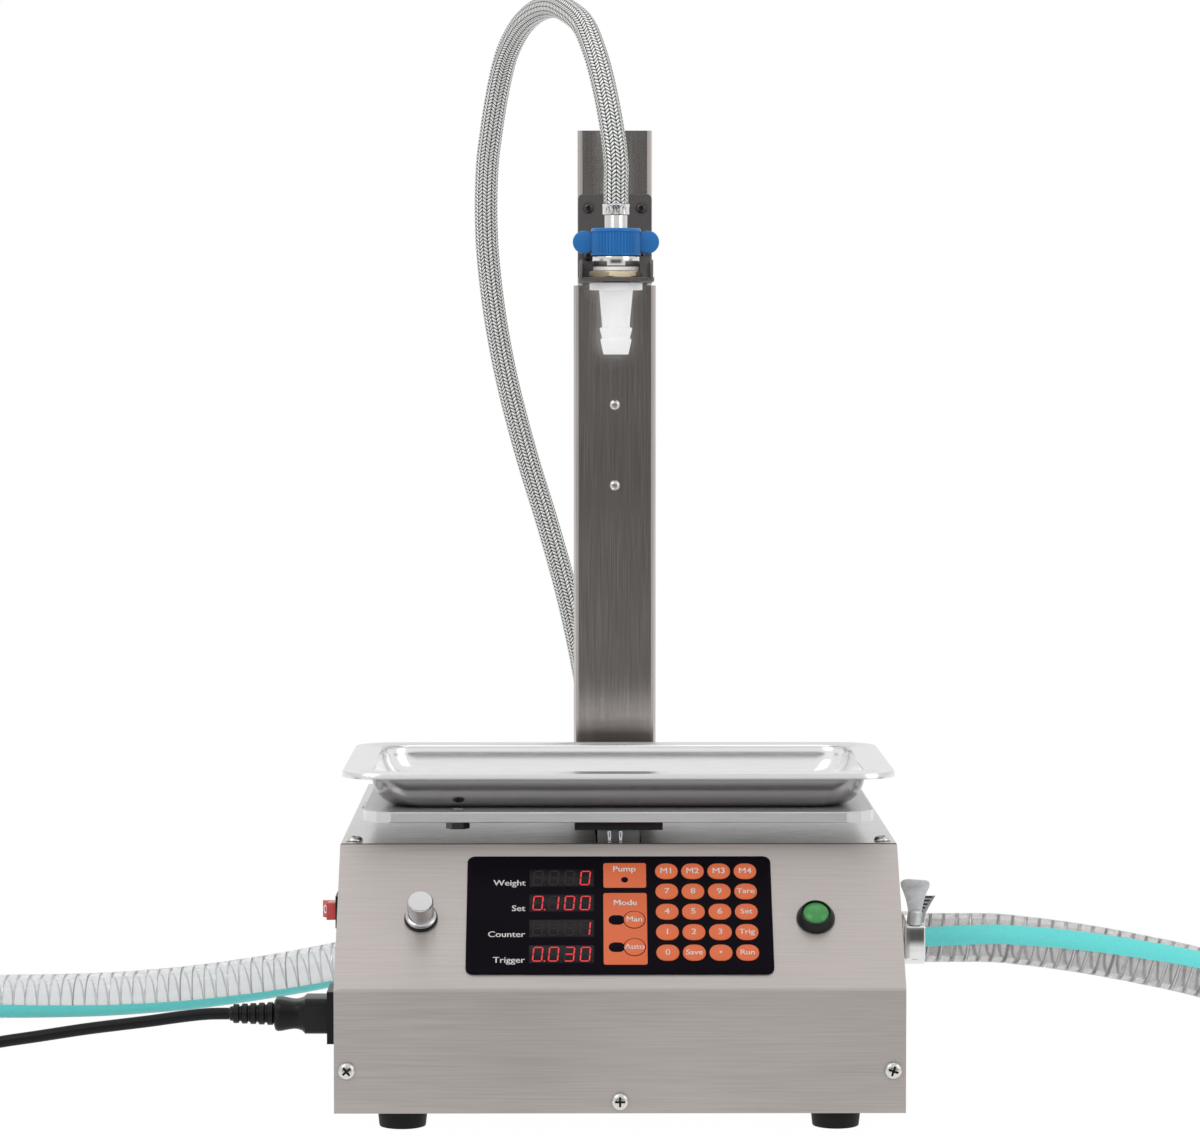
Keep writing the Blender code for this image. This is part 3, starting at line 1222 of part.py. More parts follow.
def make_bracket(slider):
    front = BRACKET_BACK - BRACKET_SHEET
    plate_rings = [
        rounded(BRACKET_WIDTH, BRACKET_HEIGHT, BRACKET_CORNER, depth) for depth in (0, BRACKET_SHEET)
    ]
    middle = SHELF_BOTTOM + BRACKET_HEIGHT / 2
    bracket = piece("nozzle_bracket", loft(plate_rings), DARK_PAINT, (0, BRACKET_BACK, middle), TO_FRONT)
    shelf_back = BRACKET_BACK - BRACKET_SHEET / 2
    shelf_front = BRACKET_BACK - BRACKET_REACH
    shelf_rings = [
        rounded(BRACKET_WIDTH, shelf_back - shelf_front, BRACKET_CORNER, height)
        for height in (SHELF_BOTTOM + GAP, SHELF_TOP)
    ]
    shelf = tool("shelf", loft(shelf_rings), (0, (shelf_back + shelf_front) / 2, 0))
    gusset_outline = [
        (front + GAP, SHELF_TOP - BRACKET_SHEET / 2), (front + GAP, SHELF_TOP + GUSSET_HEIGHT),
        (front - BRACKET_SHEET, SHELF_TOP + GUSSET_HEIGHT), (front - GUSSET_REACH, SHELF_TOP - BRACKET_SHEET / 2),
    ]
    gusset = tool("gusset", side_prism(gusset_outline, GUSSET_X, GUSSET_X + GUSSET_THICKNESS))
    change(bracket, "UNION", shelf, gusset)
    change(bracket, "DIFFERENCE", holes(
        "shelf_hole", [((0, NOZZLE_Y, SHELF_TOP), UPWARD)], HEAD_THREAD + GAP, OVERRUN, large_sides,
    ))
    height = SHELF_BOTTOM + BRACKET_SCREW_HEIGHT
    seats = {
        "bracket_screw_left": ((-BRACKET_SCREW_X, front - GAP, height), TO_FRONT),
        "bracket_screw_right": ((BRACKET_SCREW_X, front - GAP, height), TO_FRONT),
    }
    bores = holes("bracket_holes", seats.values(), SMALL_SHANK_RADIUS + GAP, SMALL_SHANK + OVERRUN)
    change(bracket, "DIFFERENCE", bores)
    change(slider, "DIFFERENCE", bores)
    make_screws(seats, (SMALL_HEAD_RADIUS, SMALL_HEAD_HEIGHT, SMALL_SHANK_RADIUS, SMALL_SHANK), BRIGHT)


# Filling head
def make_head():
    place = (0, NOZZLE_Y, 0)
    thread_bottom = NOZZLE_TOP - HEAD_THREAD_DEPTH
    sleeve = [
        (NOZZLE_BORE, thread_bottom), (HEAD_THREAD, thread_bottom), (HEAD_THREAD, COLLAR_BOTTOM),
        (COLLAR_RADIUS, COLLAR_BOTTOM), (COLLAR_RADIUS, COLLAR_TOP), (SOCKET_RADIUS, COLLAR_TOP),
        (SOCKET_RADIUS, COLLAR_TOP + SOCKET_HEIGHT), (NOZZLE_BORE, COLLAR_TOP + SOCKET_HEIGHT),
    ]
    piece("threaded_sleeve", turned(sleeve, large_sides), BRIGHT, place)

    nut_bottom = SHELF_TOP + GAP
    seat = (0, NOZZLE_Y, nut_bottom + LOCK_NUT_THICKNESS)
    hexagon = loft([circle(LOCK_NUT_RADIUS, height, 6) for height in (-LOCK_NUT_THICKNESS, 0)])
    lock_nut = piece("lock_nut", hexagon, BRASS, seat)
    soften(lock_nut, LOCK_NUT_THICKNESS / 6)
    change(lock_nut, "DIFFERENCE", holes(
        "lock_nut_bore", [(seat, UPWARD)], HEAD_THREAD + GAP, LOCK_NUT_THICKNESS + OVERRUN, large_sides,
    ))
    seal_bottom = nut_bottom + LOCK_NUT_THICKNESS + GAP
    seal_top = seal_bottom + SEAL_THICKNESS
    seal = [(HEAD_THREAD + GAP, seal_bottom), (SEAL_RADIUS, seal_bottom), (SEAL_RADIUS, seal_top),
            (HEAD_THREAD + GAP, seal_top)]
    piece("seal_washer", turned(seal, large_sides), WHITE, place)

    barrel_bottom = NOZZLE_TOP - NOZZLE_FLANGE
    barb_top = NOZZLE_TOP - NOZZLE_FLANGE - NOZZLE_BARB_TOP
    second_barb = barb_top - NOZZLE_BARB_LENGTH
    tip = NOZZLE_TOP - NOZZLE_LENGTH
    nozzle = [
        (HEAD_THREAD + GAP, NOZZLE_TOP), (NOZZLE_FLANGE_RADIUS, NOZZLE_TOP), (NOZZLE_FLANGE_RADIUS, barrel_bottom),
        (NOZZLE_BARREL_RADIUS, barrel_bottom), (NOZZLE_WAIST_RADIUS, barb_top), (NOZZLE_BARB_RADIUS, barb_top - GAP),
        (NOZZLE_WAIST_RADIUS, second_barb), (NOZZLE_BARB_RADIUS, second_barb - GAP), (NOZZLE_TIP_RADIUS, tip),
        (NOZZLE_BORE, tip), (NOZZLE_BORE, thread_bottom - GAP), (HEAD_THREAD + GAP, thread_bottom - GAP),
    ]
    piece("nozzle", turned(nozzle, medium_sides), WHITE, place)

    lip_bottom = WING_TOP - WING_NUT_LIP
    outline = []
    for step in range(2 * wing_nut_ribs):
        turn = math.tau * step / (2 * wing_nut_ribs)
        radius = WING_NUT_RADIUS - WING_NUT_GROOVE * (step % 2)
        outline.append(radius * Vector((math.cos(turn), math.sin(turn), 0)))
    rim = [[point + Vector((0, 0, height)) for point in outline] for height in (WING_BOTTOM, WING_TOP)]
    bores = [
        (TAIL_NECK_RADIUS + GAP, WING_TOP), (TAIL_NECK_RADIUS + GAP, lip_bottom),
        (SOCKET_RADIUS + GAP, lip_bottom), (SOCKET_RADIUS + GAP, WING_BOTTOM),
    ]
    rings = rim + [circle(radius, height, 2 * wing_nut_ribs) for radius, height in bores]
    wing_nut = piece("wing_nut", loft(rings, closed=True), BLUE, place)
    wings = []
    wing_middle = (WING_BOTTOM + WING_TOP) / 2
    for side in (-1, 1):
        rings = [circle(WING_RADIUS, depth, medium_sides) for depth in (-WING_THICKNESS / 2, WING_THICKNESS / 2)]
        offset = Vector((side * (WING_REACH - WING_RADIUS), NOZZLE_Y, wing_middle))
        wings.append(moved(loft(rings), offset, TO_FRONT))
    change(wing_nut, "UNION", tool("wings", gathered(wings)))
    clear = turned([(0, WING_BOTTOM - OVERRUN), (SOCKET_RADIUS + GAP, WING_BOTTOM - OVERRUN),
                    (SOCKET_RADIUS + GAP, lip_bottom), (0, lip_bottom)], 2 * wing_nut_ribs)
    change(wing_nut, "DIFFERENCE", tool("wing_nut_bore", clear, place))

    flange_bottom = COLLAR_TOP + SOCKET_HEIGHT + GAP
    flange_top = min(flange_bottom + TAIL_FLANGE, lip_bottom - GAP)
    tail = [
        (TAIL_BORE, flange_bottom), (TAIL_FLANGE_RADIUS, flange_bottom), (TAIL_FLANGE_RADIUS, flange_top),
        (TAIL_NECK_RADIUS, flange_top), (TAIL_NECK_RADIUS, FERRULE_BOTTOM), (FERRULE_RADIUS, FERRULE_BOTTOM),
    ]
    for ring_share in (0.3, 0.6):
        level = FERRULE_BOTTOM + ring_share * FERRULE_HEIGHT
        tail.append((FERRULE_RADIUS, level - FERRULE_GROOVE))
        tail.append((FERRULE_RADIUS - FERRULE_GROOVE, level))
        tail.append((FERRULE_RADIUS, level + FERRULE_GROOVE))
    tail += [(FERRULE_RADIUS, FERRULE_TOP), (TAIL_BORE, FERRULE_TOP)]
    piece("hose_tail", turned(tail, medium_sides), BRIGHT, place)


# Weighing place
def make_scale(top):
    platform_y = PLATFORM_FRONT + PLATFORM_DEPTH / 2
    platform_top = PLATFORM_BOTTOM + PLATFORM_THICKNESS
    rings = [
        rounded(PLATFORM_WIDTH, PLATFORM_DEPTH, PLATFORM_CORNER, height) for height in (PLATFORM_BOTTOM, platform_top)
    ]
    platform = piece("weigh_platform", loft(rings), ALUMINIUM, (0, platform_y, 0))
    stop_seat = ((STOP_X, STOP_Y, PLATFORM_BOTTOM - GAP), DOWNWARD)
    change(platform, "DIFFERENCE", holes(
        "stop_hole", [stop_seat], HEX_SHANK_RADIUS + GAP, PLATFORM_THICKNESS + OVERRUN,
    ))
    head = loft([circle(HEX_HEAD_RADIUS, height, 6) for height in (0, HEX_HEAD_HEIGHT)])
    stop = piece("overload_stop", head, BRIGHT, *stop_seat)
    shank_ends = (GAP - PLATFORM_THICKNESS, HEX_HEAD_HEIGHT / 2)
    shank = loft([circle(HEX_SHANK_RADIUS, height, small_sides) for height in shank_ends])
    change(stop, "UNION", tool("stop_shank", shank, *stop_seat))
    strap_top = PLATFORM_BOTTOM - GAP
    strap_bottom = strap_top - STRAP_THICKNESS
    strap = block((-STRAP_WIDTH / 2, STRAP_FRONT, strap_bottom), (STRAP_WIDTH / 2, STRAP_FRONT + STRAP_DEPTH, strap_top))
    piece("platform_strap", strap, BLACK_PLASTIC)

    cell_rear = CELL_FRONT + CELL_LENGTH
    cell_shape = block((-CELL_WIDTH / 2, CELL_FRONT, CELL_BOTTOM), (CELL_WIDTH / 2, cell_rear, CELL_TOP))
    cell = piece("load_cell", cell_shape, ALUMINIUM)
    middle_y = CELL_FRONT + CELL_LENGTH / 2
    middle_z = (CELL_TOP + CELL_BOTTOM) / 2
    half_spacing = CELL_HOLE_SPACING / 2
    for index, offset in enumerate((-half_spacing, half_spacing)):
        seat = (CELL_WIDTH / 2, middle_y + offset, middle_z)
        change(cell, "DIFFERENCE", holes(
            f"flexure_{index}", [(seat, TO_RIGHT)], CELL_HOLE_RADIUS, CELL_WIDTH + OVERRUN, medium_sides,
        ))
    room = CELL_SLOT_CLEARANCE
    slot = block(
        (-CELL_WIDTH / 2 - room, CELL_FRONT - room, BODY_TOP - SHEET - OVERRUN),
        (CELL_WIDTH / 2 + room, cell_rear + room, BODY_TOP + OVERRUN),
    )
    change(top, "DIFFERENCE", tool("cell_slot", slot))
    tray_bottom = platform_top + GAP
    rim_top = tray_bottom + TRAY_HEIGHT
    rim_low = rim_top - TRAY_RIM_DROP
    well_width = TRAY_WIDTH - 2 * TRAY_RIM
    well_depth = TRAY_DEPTH - 2 * TRAY_RIM
    well_corner = TRAY_CORNER - TRAY_RIM / 2
    floor_width = well_width - 2 * TRAY_SIDE_SLOPE
    floor_depth = well_depth - 2 * TRAY_SIDE_SLOPE / 2
    steps = [
        (floor_width - 2 * TRAY_BEND, floor_depth - 2 * TRAY_BEND, well_corner, tray_bottom),
        (floor_width, floor_depth, well_corner, tray_bottom + TRAY_BEND / 2),
        (well_width, well_depth, well_corner, rim_top - TRAY_SHEET),
        (TRAY_WIDTH - 2 * TRAY_SHEET, TRAY_DEPTH - 2 * TRAY_SHEET, TRAY_CORNER - TRAY_SHEET, rim_top - TRAY_SHEET),
        (TRAY_WIDTH - 2 * TRAY_SHEET, TRAY_DEPTH - 2 * TRAY_SHEET, TRAY_CORNER - TRAY_SHEET, rim_low),
        (TRAY_WIDTH, TRAY_DEPTH, TRAY_CORNER, rim_low),
        (TRAY_WIDTH, TRAY_DEPTH, TRAY_CORNER, rim_top - TRAY_SHEET / 2),
        (TRAY_WIDTH - TRAY_SHEET, TRAY_DEPTH - TRAY_SHEET, TRAY_CORNER - TRAY_SHEET / 2, rim_top),
        (well_width - 2 * TRAY_SHEET, well_depth - 2 * TRAY_SHEET, well_corner - TRAY_SHEET, rim_top),
        (floor_width - 2 * TRAY_SHEET, floor_depth - 2 * TRAY_SHEET, well_corner - TRAY_SHEET,
         tray_bottom + TRAY_BEND / 2 + TRAY_SHEET),
        (floor_width - 2 * TRAY_BEND - TRAY_SHEET, floor_depth - 2 * TRAY_BEND - TRAY_SHEET,
         well_corner - TRAY_SHEET, tray_bottom + TRAY_SHEET),
    ]
    piece("weigh_tray", loft([rounded(*step, steps=4) for step in steps]), BRIGHT, (0, TRAY_FRONT + TRAY_DEPTH / 2, 0))


# Pump and motor
def make_pump():
    place = (PUMP_BACK, PORT_Y, PORT_Z)
    wall_start = CHAMBER_LENGTH
    socket = PORT_THREAD + GAP
    socket_floor = PORT_X - PORT_TAIL - GAP - PUMP_BACK
    housing = [
        (CHAMBER_RADIUS, 0), (HOUSING_RADIUS, 0), (HOUSING_RADIUS, HOUSING_LENGTH), (socket, HOUSING_LENGTH),
        (socket, socket_floor), (PORT_BORE, socket_floor), (PORT_BORE, wall_start), (CHAMBER_RADIUS, wall_start),
    ]
    case = piece("pump_housing", turned(housing, large_sides), BRIGHT, place, TO_RIGHT)
    stubs = []
    bores = []
    stub_x = PUMP_BACK + CHAMBER_LENGTH / 2
    for offset in (-STUB_OFFSET, STUB_OFFSET):
        rings = [circle(STUB_RADIUS, depth, medium_sides) for depth in (STUB_BORE, STUB_LENGTH)]
        stubs.append(moved(loft(rings), (stub_x, PORT_Y, PORT_Z + offset), TO_REAR))
        rings = [circle(STUB_BORE, depth, medium_sides) for depth in (0, STUB_LENGTH + OVERRUN)]
        bores.append(moved(loft(rings), (stub_x, PORT_Y, PORT_Z + offset), TO_REAR))
    chamber = turned([(0, -OVERRUN), (CHAMBER_RADIUS, -OVERRUN), (CHAMBER_RADIUS, wall_start), (0, wall_start)],
                     large_sides)
    change(case, "UNION", tool("pump_stubs", gathered(stubs)))
    change(case, "DIFFERENCE", tool("pump_chamber", chamber, place, TO_RIGHT))
    change(case, "DIFFERENCE", tool("stub_bores", gathered(bores)))

    flange = -GAP - MOTOR_FLANGE
    motor_end = flange - MOTOR_LENGTH
    bore = SHAFT_RADIUS + GAP
    motor = [
        (bore, -GAP), (HOUSING_RADIUS, -GAP), (HOUSING_RADIUS, flange), (MOTOR_RADIUS, flange),
        (MOTOR_RADIUS, motor_end), (0, motor_end), (0, -SHAFT_DEPTH - GAP), (bore, -SHAFT_DEPTH - GAP),
    ]
    body = piece("pump_motor", turned(motor, large_sides), DARK_PAINT, place, TO_RIGHT)
    half = MOTOR_FOOT_WIDTH / 2
    middle = PUMP_BACK + flange - MOTOR_LENGTH / 2
    foot = block(
        (middle - half, PORT_Y - half, BODY_BOTTOM + INNER),
        (middle + half, PORT_Y + half, PORT_Z - MOTOR_RADIUS + MOTOR_FLANGE),
    )
    change(body, "UNION", tool("motor_foot", foot))

    plate_back = IMPELLER_OFFSET
    plate_front = plate_back + IMPELLER_PLATE
    rotor = [
        (0, plate_front + VANE_HEIGHT), (IMPELLER_HUB, plate_front + VANE_HEIGHT), (IMPELLER_HUB, plate_front),
        (IMPELLER_RADIUS, plate_front), (IMPELLER_RADIUS, plate_back), (SHAFT_RADIUS, plate_back),
        (SHAFT_RADIUS, -SHAFT_DEPTH), (0, -SHAFT_DEPTH),
    ]
    impeller = piece("impeller", turned(rotor, large_sides), WHITE, place, TO_RIGHT)
    vanes = []
    for vane in range(vane_count):
        strip = block(
            (IMPELLER_HUB - VANE_THICKNESS, -VANE_THICKNESS / 2, plate_front - IMPELLER_PLATE / 2),
            (IMPELLER_RADIUS - VANE_THICKNESS, VANE_THICKNESS / 2, plate_front + VANE_HEIGHT - GAP),
        )
        vanes.append(moved(strip, turn=Matrix.Rotation(math.tau * vane / vane_count, 3, "Z")))
    change(impeller, "UNION", tool("vanes", gathered(vanes), place, TO_RIGHT))


front_sheet, pan, top_sheet, side_sheets = make_body()
make_keypad(front_sheet)
make_knob(front_sheet)
make_button(front_sheet)
make_rocker(side_sheets["side_panel_left"])
make_inlet(side_sheets["side_panel_left"])
make_power_cord()
make_port(side_sheets["side_panel_right"], pan)
make_elbows()
make_hoses()
post_slider = make_post(top_sheet)
make_bracket(post_slider)
make_head()
make_scale(top_sheet)
make_pump()
print("row frame offset", round(CENTRE_X, 6), round(CENTRE_Y, 6))
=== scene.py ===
import math
import bmesh
import bpy
import numpy as np
from mathutils import Matrix, Vector


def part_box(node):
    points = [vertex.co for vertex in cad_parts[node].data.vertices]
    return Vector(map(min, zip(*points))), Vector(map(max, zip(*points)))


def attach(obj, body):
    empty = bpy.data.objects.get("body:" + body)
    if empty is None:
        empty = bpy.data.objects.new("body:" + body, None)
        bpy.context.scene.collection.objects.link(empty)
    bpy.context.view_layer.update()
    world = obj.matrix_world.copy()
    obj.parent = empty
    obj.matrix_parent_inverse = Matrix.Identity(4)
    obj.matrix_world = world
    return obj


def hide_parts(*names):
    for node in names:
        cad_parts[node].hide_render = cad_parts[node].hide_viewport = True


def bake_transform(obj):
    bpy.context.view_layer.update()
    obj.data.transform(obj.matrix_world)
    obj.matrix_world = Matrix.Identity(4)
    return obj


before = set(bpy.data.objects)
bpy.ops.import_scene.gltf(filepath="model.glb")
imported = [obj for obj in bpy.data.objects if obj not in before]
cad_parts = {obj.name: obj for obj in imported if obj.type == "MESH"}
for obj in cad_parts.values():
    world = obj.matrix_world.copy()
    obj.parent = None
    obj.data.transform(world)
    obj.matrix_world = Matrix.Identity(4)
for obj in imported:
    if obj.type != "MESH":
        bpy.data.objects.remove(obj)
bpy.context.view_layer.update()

scene = bpy.context.scene
scene.view_settings.view_transform = "Standard"

machine = Matrix.Translation((-0.012495, -0.20275, 0))
camera_down = 3.037
camera_right = 0.341
camera = bpy.data.objects.new("camera", bpy.data.cameras.new("camera"))
scene.collection.objects.link(camera)
camera.location = machine @ Vector((-0.0229, -2.138, 0.4046))
camera.rotation_euler = (math.radians(90 - camera_down), 0, math.radians(-camera_right))
camera.data.lens = 127.58
camera.data.sensor_width = 36
camera.data.clip_end = 60
scene.camera = camera


def node(tree, kind, values=None, **settings):
    """A new node, with its inputs set to plain values or linked to other nodes' outputs."""
    made = tree.nodes.new(kind)
    for key, value in settings.items():
        setattr(made, key, value)
    for key, value in (values or {}).items():
        if isinstance(value, bpy.types.NodeSocket):
            tree.links.new(value, made.inputs[key])
        else:
            made.inputs[key].default_value = value
    return made


def worked(tree, operation, *values):
    """The result of one sum on one or two values."""
    return node(tree, "ShaderNodeMath", dict(enumerate(values)), operation=operation).outputs[0]


def seen_share(tree, share):
    """A share for what the camera sees, straight, mirrored or through clear plastic, and else none."""
    rays = node(tree, "ShaderNodeLightPath").outputs
    mirrored = worked(tree, "MAXIMUM", rays["Is Camera Ray"], rays["Is Glossy Ray"])
    either = worked(tree, "MAXIMUM", mirrored, rays["Is Transmission Ray"])
    return worked(tree, "MULTIPLY", either, share)


studio = bpy.data.worlds.new("studio")
studio.use_nodes = True
tree = studio.node_tree
tree.nodes.clear()
direction = node(tree, "ShaderNodeTexCoord").outputs["Generated"]
towards = node(tree, "ShaderNodeSeparateXYZ", {0: direction}).outputs
from_front = worked(tree, "ARCTAN2", towards["X"], worked(tree, "MULTIPLY", towards["Y"], -1.0))
share_round = worked(tree, "DIVIDE", worked(tree, "ABSOLUTE", from_front), math.pi)
walls = node(tree, "ShaderNodeValToRGB", {0: share_round})
ramp = walls.color_ramp
for place, level in ((0.12, 0.10), (0.19, 0.85), (0.34, 1.0), (0.39, 0.32), (0.45, 0.32), (0.52, 1.0)):
    ramp.elements.new(place).color = (level, level, level, 1)
ramp.elements[0].color = (0.10, 0.10, 0.10, 1)
ramp.elements[-1].color = (1, 1, 1, 1)


def past_height(start, end, before, after):
    """Changes one level of the surround into another between two heights."""
    share = node(tree, "ShaderNodeMapRange", {"Value": towards["Z"], "From Min": start, "From Max": end})
    return node(tree, "ShaderNodeMix", {0: share.outputs[0], 2: before, 3: after}).outputs[0]


ceiling = past_height(0.09, 0.22, walls.outputs[0], 0.82)
bench_glow = past_height(-0.10, -0.22, ceiling, 0.95)
shade = past_height(-0.26, -0.42, bench_glow, 0.12)
rays = node(tree, "ShaderNodeLightPath").outputs
straight = worked(tree, "MAXIMUM", rays["Is Camera Ray"], rays["Is Transmission Ray"])
shown = node(tree, "ShaderNodeMix", {0: straight, 2: shade, 3: 1.0})
seen = node(tree, "ShaderNodeBackground", {"Color": shown.outputs[0], "Strength": 1.0})
unseen = node(tree, "ShaderNodeBackground", {"Color": (1, 1, 1, 1), "Strength": 0.8})
both = node(tree, "ShaderNodeMixShader", {
    0: seen_share(tree, 1.0), 1: unseen.outputs[0], 2: seen.outputs[0],
})
node(tree, "ShaderNodeOutputWorld", {"Surface": both.outputs[0]})
scene.world = studio

floor_look = bpy.data.materials.new("floor")
floor_look.use_nodes = True
tree = floor_look.node_tree
tree.nodes.clear()
paper = node(tree, "ShaderNodeBsdfDiffuse", {"Color": (0.88, 0.88, 0.88, 1)})
glow = node(tree, "ShaderNodeEmission", {"Color": (1, 1, 1, 1), "Strength": 1.01})
both = node(tree, "ShaderNodeMixShader", {
    0: seen_share(tree, 0.98), 1: paper.outputs[0], 2: glow.outputs[0],
})
node(tree, "ShaderNodeOutputMaterial", {"Surface": both.outputs[0]})
floor_mesh = bpy.data.meshes.new("floor")
reach = 14
table_edge = -0.38
corners = [(-reach, table_edge, 0), (reach, table_edge, 0), (reach, reach, 0), (-reach, reach, 0)]
floor_mesh.from_pydata(corners, [], [(0, 1, 2, 3)])
floor_mesh.materials.append(floor_look)
floor = bpy.data.objects.new("floor", floor_mesh)
scene.collection.objects.link(floor)
floor.location.z = -0.0004

for name, place, aim, size, power in (
    ("key", (-1.4, -1.6, 1.9), (0, 0, 0.15), 1.3, 11),
    ("fill", (1.7, -1.3, 1.2), (0, 0, 0.2), 1.2, 5),
    ("top", (0.0, 0.3, 2.2), (0, 0, 0), 1.6, 5),
):
    lamp = bpy.data.objects.new(name, bpy.data.lights.new(name, "AREA"))
    lamp.data.size = size
    lamp.data.energy = power
    lamp.location = place
    lamp.rotation_euler = (Vector(aim) - Vector(place)).to_track_quat("-Z", "Y").to_euler()
    scene.collection.objects.link(lamp)


# The power cord: a round black sheath from the inlet's plug down to the bench. The length that the
# picture doesn't show lies wound in a flat coil to the left, and ends in its moulded plug.
def finish(name, colour, rough, metal=0, grain=(1, 1, 1), scale=600, spread=0.06, bump=0.05, depth=0.0002,
           wear=0.08, brushed=None, **sockets):
    """A surface whose tone, gloss and relief vary with a fine grain, drawn out where grain is small."""
    look = bpy.data.materials.new(name)
    look.use_nodes = True
    tree = look.node_tree
    shader = tree.nodes["Principled BSDF"]
    place = node(tree, "ShaderNodeTexCoord").outputs["Object"]
    stretched = node(tree, "ShaderNodeMapping", {"Vector": place, "Scale": grain})
    fine = node(tree, "ShaderNodeTexNoise", {"Vector": stretched.outputs[0], "Scale": scale, "Detail": 3.0})
    broad = node(tree, "ShaderNodeTexNoise", {"Vector": place, "Scale": 9.0, "Detail": 2.0})
    mixed = node(tree, "ShaderNodeMix", {0: 0.35, 2: fine.outputs[0], 3: broad.outputs[0]})
    least, most = 0.3, 0.7
    tone = node(tree, "ShaderNodeValToRGB", {0: mixed.outputs[0]})
    for stop, place_on_ramp, change in zip(tone.color_ramp.elements, (least, most), (-spread, spread)):
        stop.position = place_on_ramp
        stop.color = (*[min(1, max(0, part * (1 + change))) for part in colour], 1)
    tree.links.new(tone.outputs[0], shader.inputs["Base Color"])
    gloss = node(tree, "ShaderNodeMapRange", {
        "Value": mixed.outputs[0], "From Min": least, "From Max": most,
        "To Min": rough * (1 - wear), "To Max": min(1, rough * (1 + wear)),
    })
    tree.links.new(gloss.outputs[0], shader.inputs["Roughness"])
    relief = node(tree, "ShaderNodeBump", {"Height": fine.outputs[0], "Strength": bump, "Distance": depth})
    tree.links.new(relief.outputs[0], shader.inputs["Normal"])
    shader.inputs["Metallic"].default_value = metal
    if brushed:
        across = node(tree, "ShaderNodeTangent", direction_type="RADIAL", axis=brushed)
        tree.links.new(across.outputs[0], shader.inputs["Tangent"])
        shader.inputs["Anisotropic"].default_value = 0.8
    for key, value in sockets.items():
        shader.inputs[key.replace("_", " ")].default_value = value
    return look


def put(name, shape, look, *nodes, body="base", at=machine, angle=40, slot=None, smooth=True):
    """A named piece from its bmesh, which rides on a body and may stand for CAD nodes."""
    mesh = bpy.data.meshes.new(name)
    shape.to_mesh(mesh)
    shape.free()
    if smooth:
        mesh.shade_smooth()
        mesh.set_sharp_from_angle(angle=math.radians(angle))
    for each in look if isinstance(look, list) else [look]:
        mesh.materials.append(each)
    item = bpy.data.objects.new(name, mesh)
    scene.collection.objects.link(item)
    item.matrix_world = at
    if nodes:
        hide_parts(*nodes)
    if body:
        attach(item, body)
    return item


def run_along(points):
    """How far along the line each of its points lies."""
    return np.concatenate([[0], np.cumsum(np.linalg.norm(np.diff(points, axis=0), axis=1))])


def smooth_line(route, spacing):
    """Points on a smooth curve through the route, whose first and last stretches stay straight."""
    knots = [np.array(point) for point in route]
    fine = []
    for before, start, end, after in zip(knots, knots[1:], knots[2:], knots[3:]):
        for step in range(40):
            t = step / 40
            fine.append(0.5 * (
                2 * start + (end - before) * t
                + (2 * before - 5 * start + 4 * end - after) * t ** 2
                + (3 * start - before - 3 * end + after) * t ** 3
            ))
    fine = np.array([knots[0]] + fine + [knots[-2], knots[-1]])
    run = run_along(fine)
    marks = np.linspace(0, run[-1], round(run[-1] / spacing) + 1)
    return np.column_stack([np.interp(marks, run, fine[:, axis]) for axis in range(3)])


def coil(centre, radius, pitch, turns, low, start_angle, leads, rise=0, per_turn=48):
    """Loops that lie flat on the bench, with straight ends. With a rise, half of them lie on the others."""
    reverse = turns / 2 if rise else turns
    points = []
    for step in range(round(turns * per_turn) + 1):
        turn = step / per_turn
        angle = start_angle + math.tau * turn
        reach = radius - pitch * (turn if turn <= reverse else 2 * reverse - turn)
        climb = min(max((turn - reverse) * 2 + 0.5, 0), 1)
        points.append((
            centre[0] + reach * math.cos(angle), centre[1] + reach * math.sin(angle), low + rise * climb,
        ))
    end_angle = start_angle + math.tau * turns
    heading = np.array((-math.sin(start_angle), math.cos(start_angle), 0))
    leaving = np.array((-math.sin(end_angle), math.cos(end_angle), 0))
    points.insert(0, np.array(points[0]) - leads[0] * heading)
    points.append(np.array(points[-1]) + leads[1] * leaving)
    return np.array(points)


def frames(points, up):
    """Each point's side and up directions, carried along the line without twist."""
    found = []
    lift = Vector(up)
    for index, point in enumerate(points):
        ahead = Vector(points[min(index + 1, len(points) - 1)]) - Vector(points[max(index - 1, 0)])
        ahead.normalize()
        lift = (lift - ahead * lift.dot(ahead)).normalized()
        found.append((Vector(point), ahead.cross(lift), lift.copy()))
    return found


